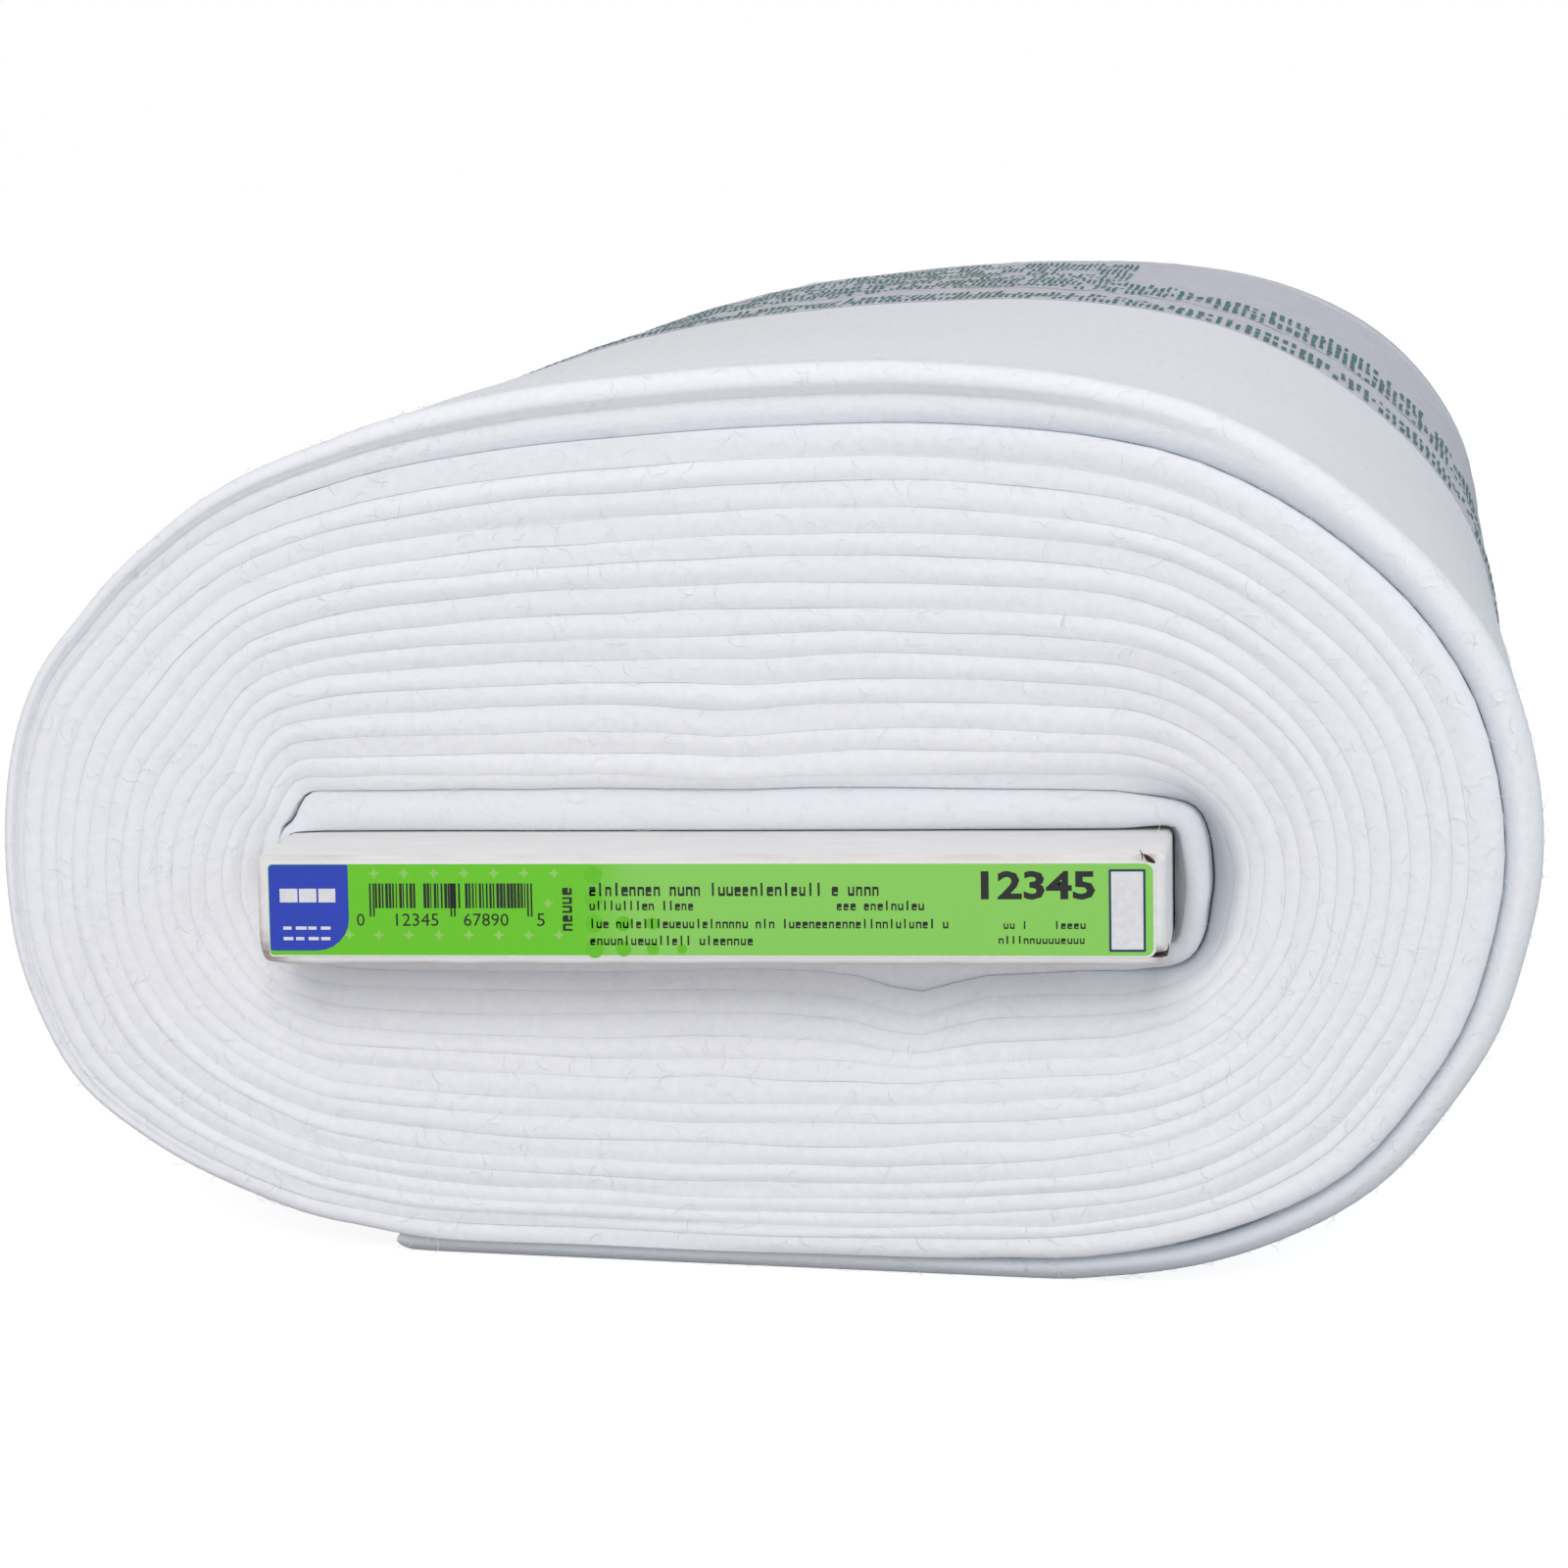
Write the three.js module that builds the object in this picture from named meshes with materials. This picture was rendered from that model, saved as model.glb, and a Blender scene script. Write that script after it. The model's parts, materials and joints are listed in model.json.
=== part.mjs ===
// A roll of quilt batting on a flat bolt board.
// A length of needled fleece, folded in half along its width, is wound on a cardboard board.
// Millimetres, +Z up. The roll lies along Y on its flat spot, its near end facing -Y, and the
// origin is on the surface it lies on, under the middle of the roll.
import * as THREE from 'three';
import { mergeVertices } from 'three/addons/utils/BufferGeometryUtils.js';

// Driving dimensions
const ROLL_LENGTH = 571.5;
const BOARD_LENGTH = 609.6;
const BOARD_WIDTH = 171;
const BOARD_THICKNESS = 20.8;
const BOARD_EDGE_RADIUS = 1.2;
const BOARD_CENTRE = { x: -7.7, z: 73.4 };
const BOARD_TILT = THREE.MathUtils.degToRad(2.2);
const LABEL = { width: 167, height: 17.8, thickness: 0.6, cornerRadius: 2 };
const FILM = { nearEdge: 15, farEdge: 270, thickness: 1.0, clearance: 0.7, pastTip: 0.05, ends: 17.43 };
const GAP = 0.3;

// The winding: turns are counted from the cloth's first edge, at the board's upper left corner,
// and run clockwise seen from the near end.
const LAST_TURN_ENDS = 16.7;
const LOOSE_END_BEGINS = 16.5;
const FLAT_STEPS = 12;
const CAP_STEPS = 16;
const STEPS = 2 * (FLAT_STEPS + CAP_STEPS);
const FLAT_SHARE = FLAT_STEPS / STEPS;
const CAP_SHARE = CAP_STEPS / STEPS;
const SPINE_HALF = 75;

// Thickness of the folded batting in each turn, first turn first, where it passes the middle of
// the board's top, its right edge, its underside and its left edge.
const TURNS = [
  { top: 8.3, right: 6.8, under: 6.4, left: 3.6 },
  { top: 2.8, right: 2.2, under: 3.8, left: 3.3 },
  { top: 4.6, right: 3.3, under: 4.4, left: 3.3 },
  { top: 4.4, right: 3.1, under: 4.4, left: 3.2 },
  { top: 5.2, right: 4.0, under: 3.6, left: 3.2 },
  { top: 4.5, right: 2.9, under: 3.6, left: 3.3 },
  { top: 4.7, right: 3.5, under: 4.4, left: 3.2 },
  { top: 4.1, right: 3.6, under: 3.8, left: 3.4 },
  { top: 4.8, right: 2.8, under: 4.0, left: 3.3 },
  { top: 4.7, right: 3.3, under: 3.9, left: 3.2 },
  { top: 5.0, right: 4.0, under: 3.4, left: 3.4 },
  { top: 4.2, right: 3.5, under: 2.9, left: 3.2 },
  { top: 4.5, right: 3.6, under: 2.7, left: 3.3 },
  { top: 5.0, right: 4.4, under: 2.4, left: 3.2 },
  { top: 4.6, right: 2.8, under: 2.2, left: 3.3 },
  { top: 5.7, right: 6.8, under: 3.4, left: 4.0 },
  { top: 11.6, right: 7.4, under: 4.2, left: 4.2 },
];

// The roll's outline at its near end, clockwise from the loose end's tip, and how much further
// out each place lies at the far end, where the roll is fuller at its upper right.
const OUTLINE = [
  { x: -80, z: 6.0, fuller: 0 },
  { x: -99.5, z: 11.5, fuller: 0 },
  { x: -119, z: 20.5, fuller: 0 },
  { x: -134, z: 32.5, fuller: 0 },
  { x: -142, z: 47.6, fuller: 0 },
  { x: -146.2, z: 63, fuller: 0 },
  { x: -147.3, z: 82, fuller: 0 },
  { x: -145, z: 101, fuller: 0 },
  { x: -140.3, z: 112.7, fuller: 0 },
  { x: -130, z: 126.5, fuller: 0 },
  { x: -116.5, z: 139.8, fuller: 0 },
  { x: -99, z: 151.5, fuller: 0 },
  { x: -77, z: 160.5, fuller: 0 },
  { x: -52, z: 167.2, fuller: 0.3 },
  { x: -25, z: 171.6, fuller: 0.6 },
  { x: 2.3, z: 174.4, fuller: 1.0 },
  { x: 30, z: 175.4, fuller: 1.6 },
  { x: 57.5, z: 173.4, fuller: 3.4 },
  { x: 76, z: 169.8, fuller: 4.8 },
  { x: 94.5, z: 162.5, fuller: 7.0 },
  { x: 114, z: 150, fuller: 9.0 },
  { x: 129.5, z: 135.5, fuller: 8.0 },
  { x: 140, z: 119.5, fuller: 6.0 },
  { x: 145.6, z: 102, fuller: 3.0 },
  { x: 147.4, z: 83, fuller: 1.0 },
  { x: 145, z: 67, fuller: 0 },
  { x: 140.5, z: 51.6, fuller: 0 },
  { x: 131.5, z: 36.2, fuller: 0 },
  { x: 118.5, z: 20.5, fuller: 0 },
  { x: 100, z: 9.2, fuller: 0 },
  { x: 79, z: 2.6, fuller: 0 },
  { x: 56, z: -0.2, fuller: 0 },
  { x: 10, z: -0.2, fuller: 0 },
  { x: -30, z: -0.2, fuller: 0 },
  { x: -64, z: -0.2, fuller: 0 },
];

// How much of that fullness each place along the roll has, from the near end, 0, to the far end, 1
const FULLNESS = [
  { along: 0, share: 0 },
  { along: 0.4, share: 0.06 },
  { along: 0.7, share: 0.34 },
  { along: 1, share: 1 },
];

// Creases that several turns share: where round the winding, how wide in mm, how far they push
// the turns outward in mm, the turn where they are deepest and how many turns they reach over.
const CREASES = [
  { name: 'pinch under the board', along: 28.5, side: 'under', width: 9, push: 4.0, turn: 1.6, reach: 3.2 },
  { name: 'shoulder left of the pinch', along: -8, side: 'under', width: 22, push: -1.4, turn: 3, reach: 3.5 },
  { name: 'dip over the board', along: -4, side: 'top', width: 13, push: -1.5, turn: 4.5, reach: 3.0 },
];

// How far the near ends of the turns stand back, and the grooves between the turns
const NEAR_SETBACK = { first: 8.5, fadesOver: 1.7 };
const LAST_SETBACK = { depth: 1.5, from: 15.9, to: 16.3 };
const GROOVE_DEPTH = { near: 2.6, far: 1.2 };
const SLACK_AT_RIGHT_EDGE = 2.2;

// The first turns bend round the board's square corners, which later turns round off
const CORNERS_FADE_OVER = 2.2;

const COLOURS = {
  batting: { color: 0xf1f2f4, roughness: 0.95 },
  cardboard: { color: 0xf4f3f1, roughness: 0.8 },
  label: { color: 0x6cc63c, roughness: 0.55 },
  film: { color: 0xc9cdd3, roughness: 0.35 },
};

function material(name) {
  return new THREE.MeshStandardMaterial({ ...COLOURS[name], metalness: 0 });
}

const fraction = (turns) => turns - Math.floor(turns);
const smooth = (t) => t * t * (3 - 2 * t);

// From the board's own axes (x along its width, z up through its thickness) to the roll's
function fromBoard(x, z) {
  return {
    x: BOARD_CENTRE.x + x * Math.cos(BOARD_TILT) - z * Math.sin(BOARD_TILT),
    z: BOARD_CENTRE.z + x * Math.sin(BOARD_TILT) + z * Math.cos(BOARD_TILT),
  };
}

// The spoke at a place round the winding: it leaves the board's middle line square to its faces,
// and fans out round the line's two ends.
function spoke(place) {
  const u = fraction(place);
  if (u < FLAT_SHARE) {
    return { x: -SPINE_HALF + (2 * SPINE_HALF * u) / FLAT_SHARE, angle: Math.PI / 2 };
  }
  if (u < FLAT_SHARE + CAP_SHARE) {
    return { x: SPINE_HALF, angle: Math.PI * (0.5 - (u - FLAT_SHARE) / CAP_SHARE) };
  }
  const v = u - FLAT_SHARE - CAP_SHARE;
  if (v < FLAT_SHARE) {
    return { x: SPINE_HALF - (2 * SPINE_HALF * v) / FLAT_SHARE, angle: -Math.PI / 2 };
  }
  return { x: -SPINE_HALF, angle: -Math.PI * (0.5 + (v - FLAT_SHARE) / CAP_SHARE) };
}

// The place round the winding, and the reach along its spoke, of a point of the outline
function toSpoke(point) {
  const dx = point.x - BOARD_CENTRE.x;
  const dz = point.z - BOARD_CENTRE.z;
  const x = dx * Math.cos(BOARD_TILT) + dz * Math.sin(BOARD_TILT);
  const z = -dx * Math.sin(BOARD_TILT) + dz * Math.cos(BOARD_TILT);
  if (Math.abs(x) <= SPINE_HALF) {
    const along = z > 0 ? (x + SPINE_HALF) / (2 * SPINE_HALF) : (SPINE_HALF - x) / (2 * SPINE_HALF);
    return { place: along * FLAT_SHARE + (z > 0 ? 0 : 0.5), reach: Math.abs(z) };
  }
  const side = Math.sign(x);
  const angle = Math.atan2(z, side * x - SPINE_HALF);
  const cap = 0.5 - (side * angle) / Math.PI;
  return {
    place: (side > 0 ? 0 : 0.5) + FLAT_SHARE + CAP_SHARE * cap,
    reach: Math.hypot(side * x - SPINE_HALF, z),
  };
}

// How far along its spoke the winding's inside lies: against the board for the first turn, and
// on a plain round-ended form for the later ones
function innerReach(place, turn) {
  const { angle } = spoke(place);
  const across = (BOARD_WIDTH / 2 + GAP - SPINE_HALF) / Math.max(Math.abs(Math.cos(angle)), 1e-6);
  const through = (BOARD_THICKNESS / 2 + GAP) / Math.max(Math.abs(Math.sin(angle)), 1e-6);
  const rounded = BOARD_THICKNESS / 2 + GAP;
  const corner = Math.min(across, through) - rounded;
  const slack = SLACK_AT_RIGHT_EDGE * Math.max(Math.cos(angle), 0) ** 2;
  return rounded + slack + corner * Math.exp(-turn / CORNERS_FADE_OVER);
}

// Batting thickness at any point of the winding, between the four measured places of each turn
const TURN_KNOTS = TURNS.flatMap((turn, k) => [
  { at: k + FLAT_SHARE / 2, value: turn.top },
  { at: k + FLAT_SHARE + CAP_SHARE / 2, value: turn.right },
  { at: k + 0.5 + FLAT_SHARE / 2, value: turn.under },
  { at: k + 0.5 + FLAT_SHARE + CAP_SHARE / 2, value: turn.left },
]);

function thickness(turns) {
  const next = TURN_KNOTS.findIndex((knot) => knot.at > turns);
  if (next <= 0) return TURN_KNOTS[next === 0 ? 0 : TURN_KNOTS.length - 1].value;
  const a = TURN_KNOTS[next - 1];
  const b = TURN_KNOTS[next];
  return a.value + (b.value - a.value) * smooth((turns - a.at) / (b.at - a.at));
}

// The first turn climbs over the cloth's first edge as it comes round to it again
const CLIMB_BEGINS = 0.93;
const climb = (u) => (u > CLIMB_BEGINS ? smooth((u - CLIMB_BEGINS) / (1 - CLIMB_BEGINS)) : 0);

function stackedThickness(place) {
  const layers = place < LAST_TURN_ENDS - 16 ? 17 : 16;
  let sum = climb(place) * thickness(0);
  for (let k = 0; k < layers; k += 1) sum += thickness(k + place);
  return sum;
}

// How much the turns are stretched or squeezed at each place so that they fill the outline
const STRETCH_KNOTS = OUTLINE.map(({ x, z, fuller }) => {
  const { place, reach } = toSpoke({ x, z });
  const stack = stackedThickness(place);
  const inside = innerReach(place, TURNS.length);
  return {
    at: place,
    near: (reach - inside) / stack,
    far: (reach + fuller - inside) / stack,
  };
}).sort((a, b) => a.at - b.at);

function fullnessAt(alongRoll) {
  const next = Math.max(1, FULLNESS.findIndex(({ along }) => along >= alongRoll));
  const a = FULLNESS[next - 1];
  const b = FULLNESS[next];
  return a.share + ((b.share - a.share) * (alongRoll - a.along)) / (b.along - a.along);
}

function stretch(place, alongRoll) {
  const count = STRETCH_KNOTS.length;
  let next = STRETCH_KNOTS.findIndex((knot) => knot.at > place);
  if (next < 0) next = count;
  const knots = [-2, -1, 0, 1].map((offset) => {
    const index = next + offset;
    const wrapped = (index + count) % count;
    const knot = STRETCH_KNOTS[wrapped];
    return {
      at: knot.at + Math.floor(index / count),
      value: knot.near + (knot.far - knot.near) * fullnessAt(alongRoll),
    };
  });
  const [before, a, b, after] = knots;
  const width = b.at - a.at;
  const t = (place - a.at) / width;
  const slopeA = ((b.value - before.value) / (b.at - before.at)) * width;
  const slopeB = ((after.value - a.value) / (after.at - a.at)) * width;
  const t2 = t * t;
  const t3 = t2 * t;
  return (2 * t3 - 3 * t2 + 1) * a.value + (t3 - 2 * t2 + t) * slopeA
    + (3 * t2 - 2 * t3) * b.value + (t3 - t2) * slopeB;
}

function creasePush(turns) {
  const u = fraction(turns);
  if (u % 0.5 > FLAT_SHARE) return 0;
  const { x } = spoke(u);
  const side = u < 0.5 ? 'top' : 'under';
  const turn = Math.floor(turns);
  if (turn === 0) return 0;
  let push = 0;
  for (const crease of CREASES.filter((c) => c.side === side)) {
    const away = (x + BOARD_CENTRE.x - crease.along) / crease.width;
    const deep = (turn - crease.turn) / crease.reach;
    push += crease.push * Math.exp(-away * away - deep * deep);
  }
  return push;
}

// Boundary between turns: "turns" counts from the board's surface, so 1 is the outside of the
// first turn where the cloth starts. alongRoll goes from 0 at the near end to 1 at the far end.
function boundary(turns, alongRoll, outward = 0) {
  const u = fraction(turns);
  const whole = Math.floor(turns);
  let stack = climb(u) * thickness(0);
  for (let k = 0; k < whole; k += 1) stack += thickness(k + u);
  const { x, angle } = spoke(u);
  const r = innerReach(u, whole) + stack * stretch(u, alongRoll) + creasePush(turns) + outward;
  const point = fromBoard(x + r * Math.cos(angle), r * Math.sin(angle));
  return { x: point.x, z: Math.max(point.z, 0) };
}

function between(a, b, t) {
  return { x: a.x + (b.x - a.x) * t, z: a.z + (b.z - a.z) * t };
}

// How far back from the roll's near end face a turn's folded edge lies
function setback(turns) {
  const inner = NEAR_SETBACK.first * Math.exp(-((turns / NEAR_SETBACK.fadesOver) ** 2));
  const outer = LAST_SETBACK.depth * THREE.MathUtils.smoothstep(turns, LAST_SETBACK.from, LAST_SETBACK.to);
  return inner + outer;
}

const NEAR_Y = -ROLL_LENGTH / 2;
const FAR_Y = ROLL_LENGTH / 2;

// A closed mesh from points and faces of three or four corners, wound outward
function closedMesh(name, points, faces, finish) {
  const geometry = new THREE.BufferGeometry();
  geometry.setAttribute('position', new THREE.Float32BufferAttribute(points.flat(), 3));
  const corners = faces.flatMap((f) => (f.length === 4 ? [f[0], f[1], f[2], f[0], f[2], f[3]] : f));
  geometry.setIndex(corners);
  geometry.computeVertexNormals();
  const mesh = new THREE.Mesh(geometry, material(finish));
  mesh.name = name;
  return mesh;
}

// The wound batting: one solid with the slot for the board inside, a groove at every boundary
// between turns on both ends, and a step where the loose end leaves it.
function battingRoll() {
  const points = [];
  const last = Math.round(LOOSE_END_BEGINS * STEPS);

  // A line of points from the near end to the far end. The outside, from the step on, has points
  // between them, because the roll is fuller towards its far end.
  const addLine = (section, nearY, farY, isOutside) => {
    const inBetween = isOutside ? FULLNESS.slice(1, -1).map(({ along }) => along) : [];
    return [0, ...inBetween, 1].map((along) => {
      const p = section(along);
      const y = { 0: nearY, 1: farY }[along] ?? NEAR_Y + along * ROLL_LENGTH;
      return points.push([p.x, y, p.z]) - 1;
    });
  };
  const valleys = [];
  for (let i = 0; i <= last + STEPS; i += 1) {
    const turns = i / STEPS;
    const back = (setback(turns - 1) + setback(turns)) / 2;
    const section = (along) => boundary(turns, along);
    valleys.push(addLine(section, NEAR_Y + GROOVE_DEPTH.near + back, FAR_Y - GROOVE_DEPTH.far, i >= last));
  }
  const ridges = [];
  for (let i = 0; i <= last; i += 1) {
    const turns = i / STEPS;
    const section = (along) => between(boundary(turns, along), boundary(turns + 1, along), 0.5);
    ridges.push(addLine(section, NEAR_Y + setback(turns), FAR_Y, i === last));
  }
  const faces = [];
  const near = (line) => line[0];
  const far = (line) => line[line.length - 1];
  const strip = (a, b) => {
    faces.push([near(a[0]), near(a[1]), near(b[1]), near(b[0])]);
    faces.push([far(b[0]), far(b[1]), far(a[1]), far(a[0])]);
  };
  const wall = (a, b) => {
    for (let k = 0; k + 1 < a.length; k += 1) faces.push([a[k], b[k], b[k + 1], a[k + 1]]);
  };
  for (let i = 0; i < last; i += 1) {
    strip([valleys[i], valleys[i + 1]], [ridges[i], ridges[i + 1]]);
    strip([ridges[i], ridges[i + 1]], [valleys[i + STEPS], valleys[i + STEPS + 1]]);
  }
  for (let i = 0; i < STEPS; i += 1) {
    wall(valleys[i + 1], valleys[i]);
    wall(valleys[last + i], valleys[last + i + 1]);
  }
  wall(valleys[0], ridges[0]);
  wall(ridges[0], valleys[STEPS]);
  wall(ridges[last], valleys[last]);
  wall(valleys[last + STEPS], ridges[last]);
  return closedMesh('batting_roll', points, faces, 'batting');
}

// A closed body through rings of equally many points, closed by a fan at both ends
function loft(name, rings, finish) {
  const sides = rings[0].length;
  const points = rings.flat();
  const faces = [];
  for (let r = 0; r + 1 < rings.length; r += 1) {
    for (let s = 0; s < sides; s += 1) {
      const a = r * sides + s;
      const b = r * sides + ((s + 1) % sides);
      faces.push([a, b, b + sides, a + sides]);
    }
  }
  const end = (rings.length - 1) * sides;
  for (let s = 1; s + 1 < sides; s += 1) {
    faces.push([0, s + 1, s]);
    faces.push([end, end + s, end + s + 1]);
  }
  return closedMesh(name, points, faces, finish);
}

// The loose end: the last stretch of folded batting, lying flat on the surface under the roll,
// with a rounded fold at the near end and a rounded cut edge at the lower left.
function looseEnd() {
  const lift = 0.6;
  const tipRadius = 2.4;
  const turnsPerMm = FLAT_SHARE / (2 * SPINE_HALF);
  const tipTurns = tipRadius * turnsPerMm;
  const places = [LOOSE_END_BEGINS + GAP * turnsPerMm];
  for (let i = Math.round(LOOSE_END_BEGINS * STEPS) + 1; i / STEPS < LAST_TURN_ENDS - tipTurns; i += 1) {
    places.push(i / STEPS);
  }
  const shapes = places.map((turns) => ({ turns, fullness: 1 }));
  for (const angle of [0, 30, 60, 85]) {
    const a = THREE.MathUtils.degToRad(angle);
    shapes.push({
      turns: LAST_TURN_ENDS - tipTurns * (1 - Math.sin(a)),
      fullness: Math.cos(a),
    });
  }
  const rings = shapes.map(({ turns, fullness }) => {
    const section = (alongRoll) => {
      const top = boundary(turns, alongRoll, lift);
      const under = boundary(turns + 1, alongRoll);
      const middle = between(top, under, 0.5);
      return { top: between(middle, top, fullness), middle, under: between(middle, under, fullness) };
    };
    const near = section(0);
    const far = section(1);
    const nose = NEAR_Y + LAST_SETBACK.depth;
    return [
      [near.under.x, nose + GROOVE_DEPTH.near, near.under.z],
      [near.middle.x, nose, near.middle.z],
      [near.top.x, nose + GROOVE_DEPTH.near, near.top.z],
      [far.top.x, FAR_Y - GROOVE_DEPTH.far, far.top.z],
      [far.middle.x, FAR_Y, far.middle.z],
      [far.under.x, FAR_Y - GROOVE_DEPTH.far, far.under.z],
    ];
  });
  return loft('loose_end', rings, 'batting');
}

// The printed film: a band over the outside of the last turn, from the loose end's tip up the
// left side, over the top and down the right side, ending above the surface below.
function printStrip() {
  const begins = Math.round((LAST_TURN_ENDS + FILM.pastTip) * STEPS);
  const ends = Math.round(FILM.ends * STEPS);
  const inner = FILM.clearance;
  const outer = FILM.clearance + FILM.thickness;
  const bends = FULLNESS.map(({ along }) => NEAR_Y + along * ROLL_LENGTH);
  const places = [FILM.nearEdge, ...bends.filter((y) => y > FILM.nearEdge && y < FILM.farEdge), FILM.farEdge];
  const rings = [];
  for (let i = begins; i <= ends; i += 1) {
    const line = (outward) => places.map((y) => {
      const p = boundary(i / STEPS, (y - NEAR_Y) / ROLL_LENGTH, outward);
      return [p.x, y, p.z];
    });
    rings.push([...line(inner), ...line(outer).reverse()]);
  }
  return loft('print_strip', rings, 'film');
}

function roundedRectangle(width, height, radius) {
  const x = width / 2 - radius;
  const y = height / 2 - radius;
  const shape = new THREE.Shape();
  shape.absarc(x, y, radius, 0, Math.PI / 2);
  shape.absarc(-x, y, radius, Math.PI / 2, Math.PI);
  shape.absarc(-x, -y, radius, Math.PI, Math.PI * 1.5);
  shape.absarc(x, -y, radius, Math.PI * 1.5, Math.PI * 2);
  return shape;
}

// A rounded plate across the roll's axis, centred and tilted as the board is
function boardPlate(name, { width, height, radius, depth, nearY, finish }) {
  const extruded = new THREE.ExtrudeGeometry(roundedRectangle(width, height, radius), {
    depth,
    bevelEnabled: false,
    curveSegments: 3,
  });
  extruded.deleteAttribute('normal');
  extruded.deleteAttribute('uv');
  extruded.rotateX(Math.PI / 2);
  extruded.rotateY(-BOARD_TILT);
  extruded.translate(BOARD_CENTRE.x, nearY + depth, BOARD_CENTRE.z);
  const geometry = mergeVertices(extruded);
  geometry.computeVertexNormals();
  const mesh = new THREE.Mesh(geometry, material(finish));
  mesh.name = name;
  return mesh;
}

function boltBoard() {
  return boardPlate('bolt_board', {
    width: BOARD_WIDTH,
    height: BOARD_THICKNESS,
    radius: BOARD_EDGE_RADIUS,
    depth: BOARD_LENGTH,
    nearY: -BOARD_LENGTH / 2,
    finish: 'cardboard',
  });
}

function endLabel() {
  return boardPlate('end_label', {
    width: LABEL.width,
    height: LABEL.height,
    radius: LABEL.cornerRadius,
    depth: LABEL.thickness,
    nearY: -BOARD_LENGTH / 2 - GAP - LABEL.thickness,
    finish: 'label',
  });
}

const group = new THREE.Group();
group.add(battingRoll(), looseEnd(), boltBoard(), endLabel(), printStrip());

export default group;
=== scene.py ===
# %% [markdown]
# # A roll of quilt batting on its board
# The object is one long piece of white needled fleece, folded in half along its width and wound
# on a flat cardboard board. A paper label closes the board's end and a printed film lies round
# the outside. This script dresses the fixed frame of solids with the cloth that a shop would see.
# Sizes are written in millimetres, as on a cutting table, and one factor turns them into metres.

# %% The fixed frame
import json
import math

import bmesh
import bpy
from mathutils import Matrix, Vector, noise

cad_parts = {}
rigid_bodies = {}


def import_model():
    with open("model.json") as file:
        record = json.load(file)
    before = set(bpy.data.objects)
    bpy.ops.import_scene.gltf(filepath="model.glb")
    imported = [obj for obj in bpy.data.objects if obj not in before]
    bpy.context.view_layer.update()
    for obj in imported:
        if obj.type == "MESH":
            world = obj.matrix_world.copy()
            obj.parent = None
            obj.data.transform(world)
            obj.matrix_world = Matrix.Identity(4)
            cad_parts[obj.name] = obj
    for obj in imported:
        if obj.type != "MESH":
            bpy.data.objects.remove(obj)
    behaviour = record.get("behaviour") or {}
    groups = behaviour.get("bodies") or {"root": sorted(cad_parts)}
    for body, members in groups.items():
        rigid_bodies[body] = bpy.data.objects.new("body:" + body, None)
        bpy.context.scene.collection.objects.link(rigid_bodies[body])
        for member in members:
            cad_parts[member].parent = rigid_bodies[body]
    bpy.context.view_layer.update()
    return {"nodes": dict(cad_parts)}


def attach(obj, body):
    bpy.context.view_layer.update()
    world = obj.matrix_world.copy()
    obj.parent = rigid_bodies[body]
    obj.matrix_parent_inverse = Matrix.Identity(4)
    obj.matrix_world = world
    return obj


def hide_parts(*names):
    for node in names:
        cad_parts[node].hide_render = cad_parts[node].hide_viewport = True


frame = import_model()
MM = 0.001
BODY = "root"
print("solids in the frame:", sorted(frame["nodes"]))

# %% [markdown]
# ## The camera
# The photograph was taken with a long lens, a little above the board and to its right. A long
# lens is set by one thing in the picture: the point where all lines along the roll would meet.
# From that point, the lens and a small roll of the camera, the three axes of the object follow.

# %% Camera
PHOTO_SIDE_PX = 1600
FOCAL_PX = 5200
SENSOR = 36.0
AXIS_MEETS_AT_PX = (1371, 104)
CAMERA_ROLL = math.radians(2.05)
CAMERA_AT = Vector((104.9, -1237.8, 225.4)) * MM

middle_px = PHOTO_SIDE_PX / 2
along_roll = Vector((AXIS_MEETS_AT_PX[0] - middle_px, middle_px - AXIS_MEETS_AT_PX[1], -FOCAL_PX))
along_roll.normalize()
level = along_roll.cross(Vector((0, 1, 0))).normalized()
across = level * math.cos(CAMERA_ROLL) - level.cross(along_roll) * math.sin(CAMERA_ROLL)
upright = across.cross(along_roll)

camera_data = bpy.data.cameras.new("shop_camera")
camera_data.sensor_width = SENSOR
camera_data.lens = SENSOR * FOCAL_PX / PHOTO_SIDE_PX
camera_data.clip_end = 60
camera = bpy.data.objects.new("shop_camera", camera_data)
camera.matrix_world = Matrix.Translation(CAMERA_AT) @ Matrix((across, along_roll, upright)).to_4x4()
bpy.context.scene.collection.objects.link(camera)
bpy.context.scene.camera = camera
print("lens", round(camera_data.lens, 1), "mm")

# %% [markdown]
# ## Small helpers for meshes and materials
# A finished piece is always a mesh whose object sits at the origin, so one function makes it from
# points in millimetres. Material nodes are added and wired by two short functions.

# %% Helpers
def make_piece(name, points, faces, material, smooth=True, marks=None):
    """A mesh object from points in millimetres, with float attributes from marks."""
    mesh = bpy.data.meshes.new(name)
    mesh.from_pydata([(x * MM, y * MM, z * MM) for x, y, z in points], [], faces)
    for label, values in (marks or {}).items():
        mesh.attributes.new(label, "FLOAT", "POINT").data.foreach_set("value", values)
    mesh.polygons.foreach_set("use_smooth", [smooth] * len(mesh.polygons))
    mesh.materials.append(material)
    mesh.update()
    piece = bpy.data.objects.new(name, mesh)
    bpy.context.scene.collection.objects.link(piece)
    return piece


def triangles(piece):
    return sum(len(face.vertices) - 2 for face in piece.data.polygons)


def face_outwards(piece):
    edit = bmesh.new()
    edit.from_mesh(piece.data)
    bmesh.ops.recalc_face_normals(edit, faces=edit.faces)
    edit.to_mesh(piece.data)
    edit.free()


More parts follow.
